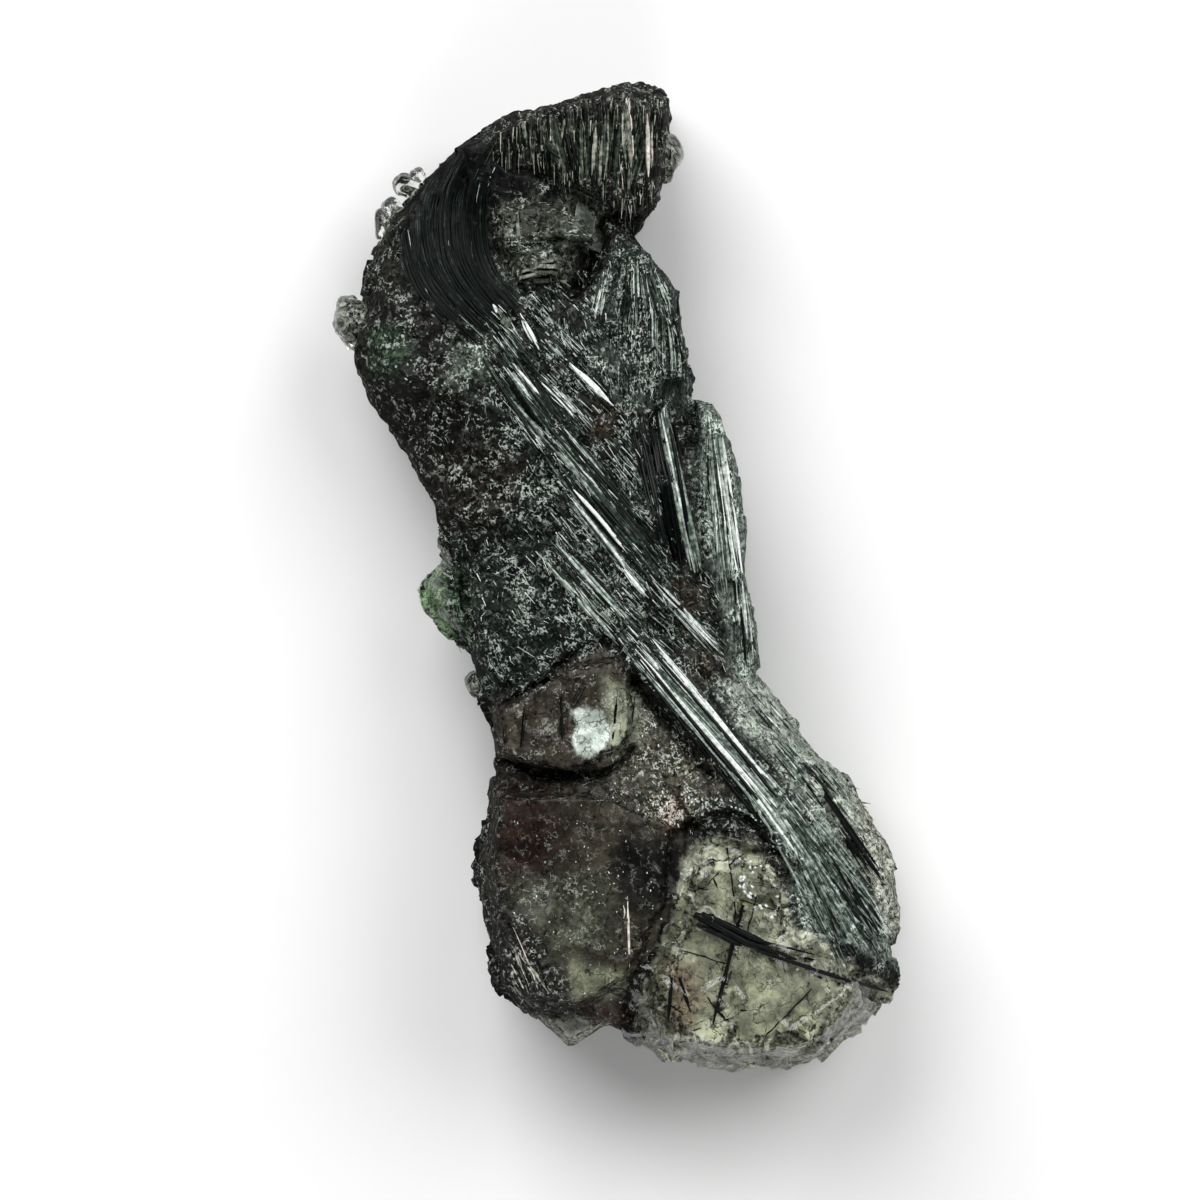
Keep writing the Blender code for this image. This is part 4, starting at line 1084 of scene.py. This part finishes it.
# Pieces whose needles are grey and not green
NEUTRAL_PIECES = ("top_blades", "smoky_needles", "top_needles")

# Guide lines of the bent dark fibres, on their outer and their inner side
BENT_OUTER = ((-8.1, 16.6), (-8.8, 14.9), (-8.7, 13.1), (-8.2, 11.7), (-7.3, 10.5), (-6.0, 9.2))
BENT_INNER = ((-4.3, 17.6), (-5.2, 15.6), (-5.3, 13.6), (-4.9, 12.4), (-4.2, 11.4), (-3.2, 10.3))

# Fields of short needles: outline, number to the square millimetre, shortest, longest and breadth, the way
# that they run, how far each one and each tuft strays from it, and their darkest and palest tones and
# how much the dark ones prevail
Field = namedtuple("Field", "outline density shortest longest breadth angle scatter swirl tones darkness")
FIELDS = {
    "green_felt": Field(OUTLINE["green_felt"], 30, 0.08, 0.30, 0.024, -49, 0.6, 4.5, (0.0, 1.0), 2.0),
    "green_felt_hairs": Field(OUTLINE["green_felt"], 3, 0.3, 0.9, 0.024, -49, 0.2, 2.0, (0.0, 1.0), 1.2),
    "right_mass_needles": Field(
        OUTLINE["right_mass"], 50, 0.07, 0.40, 0.027, -88, 0.4, 1.5, (0.0, 1.0), 1.6),
    "column_needles": Field(OUTLINE["side_column"], 40, 0.08, 0.40, 0.026, -80, 0.3, 2.2, (0.0, 1.0), 1.6),
    "slanting_short_needles": Field(
        OUTLINE["slanting_bundle"], 60, 0.2, 0.9, 0.032, -49, 0.10, 0.4, (0.0, 1.0), 1.8),
    "gully_needles": Field(OUTLINE["dark_gully"], 80, 0.08, 0.45, 0.032, -75, 0.5, 2.0, (0.0, 1.0), 1.8),
    "rusty_needles": Field(OUTLINE["rusty_gully"], 70, 0.08, 0.5, 0.030, -49, 0.6, 2.0, (0.0, 1.0), 1.8),
    "middle_needles": Field(
        ((-3.8, 11.6), (-1.7, 12.8), (-0.1, 13.1), (-0.9, 10.8), (-0.7, 8.4), (0.4, 6.8), (-1.8, 9.0)),
        100, 0.08, 0.45, 0.032, -70, 0.4, 2.5, (0.0, 1.0), 2.0),
    "hip_needles": Field(OUTLINE["hip"], 26, 0.10, 0.45, 0.024, -58, 0.5, 2.5, (0.0, 0.8), 2.8),
    "shoulder_needles": Field(
        OUTLINE["grey_shoulder"], 12, 0.10, 0.45, 0.024, -60, 0.5, 2.5, (0.0, 0.6), 2.4),
    "left_hairs": Field(
        ((-10.2, 7.4), (-7.0, 8.4), (-5.8, 7.6), (-5.7, 5.2), (-7.4, 2.2), (-9.4, 4.6)),
        9, 0.08, 0.30, 0.026, -30, 0.5, 4.5, (0.0, 1.0), 2.0),
    "rim_hairs": Field(OUTLINE["left_rim"], 18, 0.08, 0.32, 0.026, -60, 0.5, 4.5, (0.0, 0.95), 2.0),
    "pocket_needles": Field(OUTLINE["pocket"], 26, 0.08, 0.30, 0.028, 5, 0.5, 2.0, (0.0, 0.9), 1.8),
    "top_needles": Field(OUTLINE["top_block"], 60, 0.3, 0.9, 0.032, -90, 0.03, 0.1, (0.0, 0.85), 2.2),
    "saddle_needles": Field(OUTLINE["smoky_saddle"], 12, 0.05, 0.22, 0.026, -49, 0.9, 2.5, (0.0, 1.0), 1.4),
    "fan_short_needles": Field(OUTLINE["pale_fan"], 40, 0.10, 0.6, 0.026, -58, 0.2, 0.8, (0.0, 1.0), 1.0),
}
GRAINS = {
    "slab_specks": Field(OUTLINE["smoky_slab"], 1.6, 0.02, 0.05, 0.030, -80, 0.5, 0.5, (0.5, 0.95), 1.0),
    "bulb_specks": Field(OUTLINE["smoky_end"], 2.2, 0.02, 0.06, 0.034, -80, 0.5, 0.5, (0.5, 1.0), 1.0),
    "saddle_grains": Field(OUTLINE["smoky_saddle"], 9, 0.02, 0.07, 0.040, -60, 0.5, 0.5, (0.3, 1.0), 1.0),
    "rust_grains": Field(
        ((1.5, -8.7), (2.8, -8.5), (3.3, -9.3), (2.9, -10.0), (1.8, -10.0)),
        26, 0.03, 0.11, 0.045, -75, 0.3, 0.5, (0.6, 1.0), 0.8),
    "rim_grains": Field(
        ((2.6, -8.5), (4.5, -8.9), (6.1, -10.1), (7.3, -12.2), (7.6, -13.6), (7.0, -13.4), (6.7, -12.0),
         (5.7, -10.5), (4.4, -9.5), (2.6, -9.2)), 34, 0.03, 0.09, 0.050, -50, 0.6, 0.5, (0.5, 1.0), 0.8),
    "dark_grains": Field(
        ((-12.0, 12.0), (-8.6, 14.0), (-6.0, 9.0), (-5.5, 6.0), (-3.6, 4.8), (-4.0, 1.4), (-6.6, -4.6),
         (-9.0, -2.0), (-8.0, 2.0)), 9, 0.03, 0.10, 0.050, -49, 0.9, 2.0, (0.0, 0.8), 1.4),
}
END_GRAINS = Field(
    ((4.5, -11.3), (5.7, -11.5), (6.5, -12.6), (6.4, -14.0), (5.6, -13.6), (4.9, -12.6)),
    16, 0.05, 0.10, 0.075, -60, 0.6, 0.5, (0.8, 1.0), 0.8)


def new_material(name):
    """A material, the start of its wires, and its Principled shader."""
    made = bpy.data.materials.new(name)
    made.use_nodes = True
    tree = made.node_tree
    return made, Wire(tree), tree.nodes["Principled BSDF"]


def set_shader(wire, shader, **sockets):
    for name, value in sockets.items():
        wire.feed(shader.inputs[name.replace("_", " ")], value)


def grain_noise(wire, size, angle=0.0, detail=2.0, rough=0.55):
    """Noise on the piece's own coordinates, its lumps of this size in millimetres, turned by angle."""
    here = wire.add("ShaderNodeTexCoord", out=3)
    turned = wire.add("ShaderNodeMapping", {0: here, 2: (0.0, 0.0, -angle)}, vector_type="POINT")
    scale = tuple(1 / (s * MM) for s in size)
    spread = wire.add("ShaderNodeVectorMath", {0: turned, 1: scale}, operation="MULTIPLY")
    sockets = {"Vector": spread, "Scale": 1.0, "Detail": detail, "Roughness": rough}
    return wire.add("ShaderNodeTexNoise", sockets)


def crystal_finish():
    """Dark fibrous crystal: a grain that follows the needles, painted glints in pale flecks and along curled
    ridges, and dull and glossy places.
    """
    made, wire, shader = new_material("dark_fibrous_crystal")
    tint = wire.add("ShaderNodeAttribute", attribute_name="tint")
    grain = wire.add("ShaderNodeAttribute", attribute_name="grain")
    parts = wire.add("ShaderNodeSeparateColor", {0: grain})
    upright, slant, painted_glints = parts, parts.beside(1), parts.beside(2)
    gloss = grain.beside("Alpha")
    grit = grain_noise(wire, (0.20, 0.20, 0.20), detail=4.0, rough=0.65)
    tall = grain_noise(wire, (0.075, 1.3, 0.3), detail=3.0)
    leaning = grain_noise(wire, (1.5, 0.07, 0.3), angle=SLANT, detail=3.0)
    plain = (1 - upright) * (1 - slant)
    veils = grain_noise(wire, (0.75, 0.75, 0.75), detail=4.0, rough=0.52)
    glassy = gloss.between(0.42, 0.68)
    fine = grit * (1 - glassy) + (veils * 0.75 + grit * 0.25) * glassy
    texture = (upright * tall + slant * leaning + plain * fine) * 0.62 + fine * 0.38
    contrast = texture.between(0.38, 0.68)
    # Painted glints: pale flecks and bright curled ridge lines, mixed into the colour as highlights
    glint_size = grain_noise(wire, (0.10, 0.13, 0.10), detail=1.0)
    glints = (glint_size * 0.45 + texture * 0.55 + painted_glints * 0.16).between(0.60, 0.67)
    cloud = grain_noise(wire, (1.1, 1.1, 1.1), detail=3.0)
    light = wire.add("ShaderNodeSeparateColor", {0: tint}, out=1)
    curl = grain_noise(wire, (0.42, 0.42, 0.42), detail=3.0, rough=0.6)
    rims = curl.near(0.5, 0.010, 0.034)
    gaps = curl.near(0.57, 0.008, 0.026)
    breaks = grain_noise(wire, (0.32, 0.32, 0.32), detail=1.0).between(0.48, 0.56)
    patchy = grain_noise(wire, (1.0, 1.0, 1.0), detail=2.0).between(0.40, 0.60)
    ridge_glints = rims * breaks * (patchy + 0.15) * (1 - glassy * 0.72)
    crack = grain_noise(wire, (0.95, 0.95, 0.95), detail=3.0, rough=0.5)
    cracks = crack.near(0.5, 0.003, 0.014)
    darks = wire.maths("MAXIMUM", cracks * 0.75, gaps * (light.between(0.05, 0.25) * (0.9 - glassy * 0.45)))
    shade = (contrast * (cloud * 2.4 - 0.3) + 0.04 + glassy * 0.34) * (1 - darks)
    base = shade.scaled(tint)
    # The colour of the painted highlights, pale and greyish green
    pale = wire.maths("DIVIDE", painted_glints * 5.0 + 2.0, light * 5.0 + 1.0).scaled(tint)
    painted_highlight = wire.add("ShaderNodeMix", {0: 0.5, 6: pale, 7: (0.78, 0.86, 0.78)}, out=2, data_type="RGBA")
    spots = (glints * painted_glints * (patchy * 0.9 + 0.1)).between(0.0, 0.75)
    lit = wire.maths("MAXIMUM", spots, ridge_glints * painted_glints * 2.4, clamp=True)
    colour = lit.mix(base, painted_highlight)
    relief = texture + ridge_glints * 0.35 - cracks * 0.3
    height = wire.add("ShaderNodeBump", {"Strength": 0.8, "Distance": 0.05 * MM, "Height": relief})
    set_shader(
        wire, shader, Base_Color=colour, Roughness=0.55 - gloss * 0.40 + contrast * 0.10, IOR=DARK_IOR,
        Specular_IOR_Level=0.10, Coat_Weight=wire.maths("MAXIMUM", gloss, 0.0) * 0.12,
        Coat_Roughness=0.08, Normal=height,
    )
    return made


# The colour of a needle by its tone, from near black green to nearly white: the pale tones are partly the
# needles' own pale colour and partly painted highlights
NEEDLE_COLOURS = (
    (0.0, (0.002, 0.003, 0.0025)), (0.30, (0.006, 0.010, 0.0075)), (0.55, (0.058, 0.084, 0.066)),
    (0.78, (0.38, 0.45, 0.40)), (1.0, (0.93, 0.96, 0.94)),
)


def needle_finish(name, roughness, gleam, cast=(1.0, 1.0, 1.0)):
    """Glossy needles, from near black green to pale by each needle's tone, partly its own colour and partly
    a painted highlight, with a cast of colour.
    """
    made, wire, shader = new_material(name)
    tone = wire.add("ShaderNodeAttribute", out=2, attribute_name="tone")
    mottle = grain_noise(wire, (0.20, 0.20, 0.20), detail=2.0)
    shade = tone + (mottle - 0.5) * 0.7
    stops = [(stop, tuple(a * b for a, b in zip(colour, cast))) for stop, colour in NEEDLE_COLOURS]
    colour = wire.add("ShaderNodeValToRGB", {0: shade}, stops=stops)
    set_shader(wire, shader, Base_Color=colour, Roughness=roughness, IOR=DARK_IOR,
               Specular_IOR_Level=gleam)
    return made


def clear_finish(name, colour, density):
    """Clear crystal, tinted by its depth, with faint ripples on its faces."""
    made, wire, shader = new_material(name)
    ripples = grain_noise(wire, (0.4, 0.4, 0.4), detail=4.0)
    height = wire.add("ShaderNodeBump", {"Strength": 0.6, "Distance": 0.04 * MM, "Height": ripples})
    set_shader(wire, shader, Base_Color=(1.0, 1.0, 1.0), Roughness=0.06, IOR=CLEAR_IOR,
               Transmission_Weight=1.0, Normal=height)
    depth = wire.add("ShaderNodeVolumeAbsorption", {"Color": colour, "Density": density})
    wire.tree.links.new(depth.socket, wire.tree.nodes["Material Output"].inputs["Volume"])
    return made


def make_floor():
    """A plain pale floor under the crystal."""
    bm = bmesh.new()
    bmesh.ops.create_grid(bm, x_segments=1, y_segments=1, size=FLOOR_HALF)
    floor = mesh_object("floor", bm)
    made, wire, shader = new_material("pale_floor")
    set_shader(wire, shader, Base_Color=(0.93, 0.93, 0.925), Roughness=0.8, Specular_IOR_Level=0.2)
    floor.data.materials.append(made)


def make_lights():
    """Large soft lights, off to the sides so that flat faces which look at the camera stay dark."""
    for name, azimuth, elevation, size, power in (
        ("upper_left", 118, 44, 0.50, 4.2),
        ("upper_right", 42, 46, 0.45, 2.9),
        ("low_front", 265, 34, 0.50, 1.8),
    ):
        light = bpy.data.lights.new(name, "AREA")
        light.size = size
        light.energy = power
        lamp = put_in_scene(name, light)
        a, e = math.radians(azimuth), math.radians(elevation)
        place = LIGHT_DISTANCE * Vector((math.cos(a) * math.cos(e), math.sin(a) * math.cos(e), math.sin(e)))
        lamp.location = place
        lamp.rotation_euler = (-place).to_track_quat("-Z", "Y").to_euler()
    world = bpy.data.worlds.new("pale_room")
    world.use_nodes = True
    world.node_tree.nodes["Background"].inputs["Color"].default_value = (0.95, 0.97, 1.0, 1)
    world.node_tree.nodes["Background"].inputs["Strength"].default_value = ROOM_GLOW
    bpy.context.scene.world = world


def make_camera():
    camera = bpy.data.cameras.new("camera")
    across = PIXELS / PIXELS_PER_MM
    camera.sensor_width = SENSOR
    camera.lens = SENSOR * (CAMERA_HEIGHT - VIEW_DEPTH) / across
    camera.clip_start = 0.01
    made = put_in_scene("camera", camera)
    made.location = Vector((*VIEW_CENTRE, CAMERA_HEIGHT)) * MM
    bpy.context.scene.camera = made


def wear(piece, material):
    """Gives a finished piece its material and its place in the frame."""
    piece.data.materials.clear()
    piece.data.materials.append(material)
    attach(piece, BODY)
    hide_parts(NODE)


def dress_with_needles(front, end_front, glossy, neutral, dark):
    """Every needle, fibre, flake and brown lump that is laid one by one."""
    black = needle_finish("black_needles", roughness=0.40, gleam=0.12)
    routes = route_tree()
    inside = [lay_inside(end_front, *row) for row in INCLUSIONS]
    wear(needles_piece("black_inclusions", inside, routes, black), black)
    for name, rows in BUNDLES.items():
        needles = [needle for row in rows for needle in bundle(front, *row)]
        finish = neutral if name in NEUTRAL_PIECES else glossy
        wear(needles_piece(name, needles, routes, finish), finish)
    bent = sweep(front, BENT_OUTER, BENT_INNER, count=260, breadth=0.060, tones=(0.0, 0.42))
    bent += sweep(front, BENT_OUTER, BENT_INNER, count=60, breadth=0.026, tones=(0.46, 0.95), wander=0.25)
    wear(needles_piece("bent_fibres", bent, routes, black), black)
    wear(flakes_piece("stepped_leaves", front, [*FLAKES, *stepped_leaves()]), dark)
    wear(brown_lumps(front), dark)


def strew_fields(front, end_front, glossy, neutral):
    """Every field of short needles and of grains."""
    needles = strewn_tree("strewn_needles", needle_shape)
    grains = strewn_tree("strewn_grains", grain_shape)
    rows = [(name, field, front, needles) for name, field in FIELDS.items()]
    rows += [(name, field, front, grains) for name, field in GRAINS.items()]
    rows.append(("end_grains", END_GRAINS, end_front, grains))
    for k, (name, field, host, tree) in enumerate(rows):
        angle = math.radians(field.angle)
        finish = neutral if name in NEUTRAL_PIECES else glossy
        piece = grow(host.patch(name, field.outline), tree, {
            "Density": field.density / MM ** 2, "Shortest": field.shortest * MM,
            "Longest": field.longest * MM, "Breadth": field.breadth * MM,
            "Direction": (math.cos(angle), math.sin(angle), 0.0), "Scatter": field.scatter,
            "Swirl": field.swirl, "Rise": RISE, "Darkest": field.tones[0], "Palest": field.tones[1],
            "Darkness": field.darkness, "Seed": SEEDS_A_FIELD * k, "Material": finish,
        })
        wear(piece, finish)


def main():
    bpy.context.scene.view_settings.view_transform = "Standard"
    make_floor()
    make_lights()
    make_camera()
    body = crystal_body()
    dark = crystal_finish()
    wear(body, dark)
    end = clear_block("clear_end", CLEAR_END, END_GRAIN, END_TRIANGLES, seed=41)
    wear(end, clear_finish("smoky_clear_crystal", (0.80, 0.80, 0.64), 450.0))
    green = clear_block("green_crystal", GREEN_CRYSTAL, GREEN_GRAIN, GREEN_TRIANGLES, seed=43)
    wear(green, clear_finish("green_clear_crystal", (0.45, 0.90, 0.42), 400.0))
    wear(clear_lumps(), clear_finish("colourless_crystal", (0.80, 0.84, 0.74), 420.0))
    front = Front(body)
    end_front = Front(end)
    glossy = needle_finish("glossy_needles", NEEDLE_ROUGHNESS, NEEDLE_GLEAM)
    neutral = needle_finish("neutral_needles", NEEDLE_ROUGHNESS, NEEDLE_GLEAM, cast=(1.04, 0.89, 0.84))
    dress_with_needles(front, end_front, glossy, neutral, dark)
    strew_fields(front, end_front, glossy, neutral)


main()
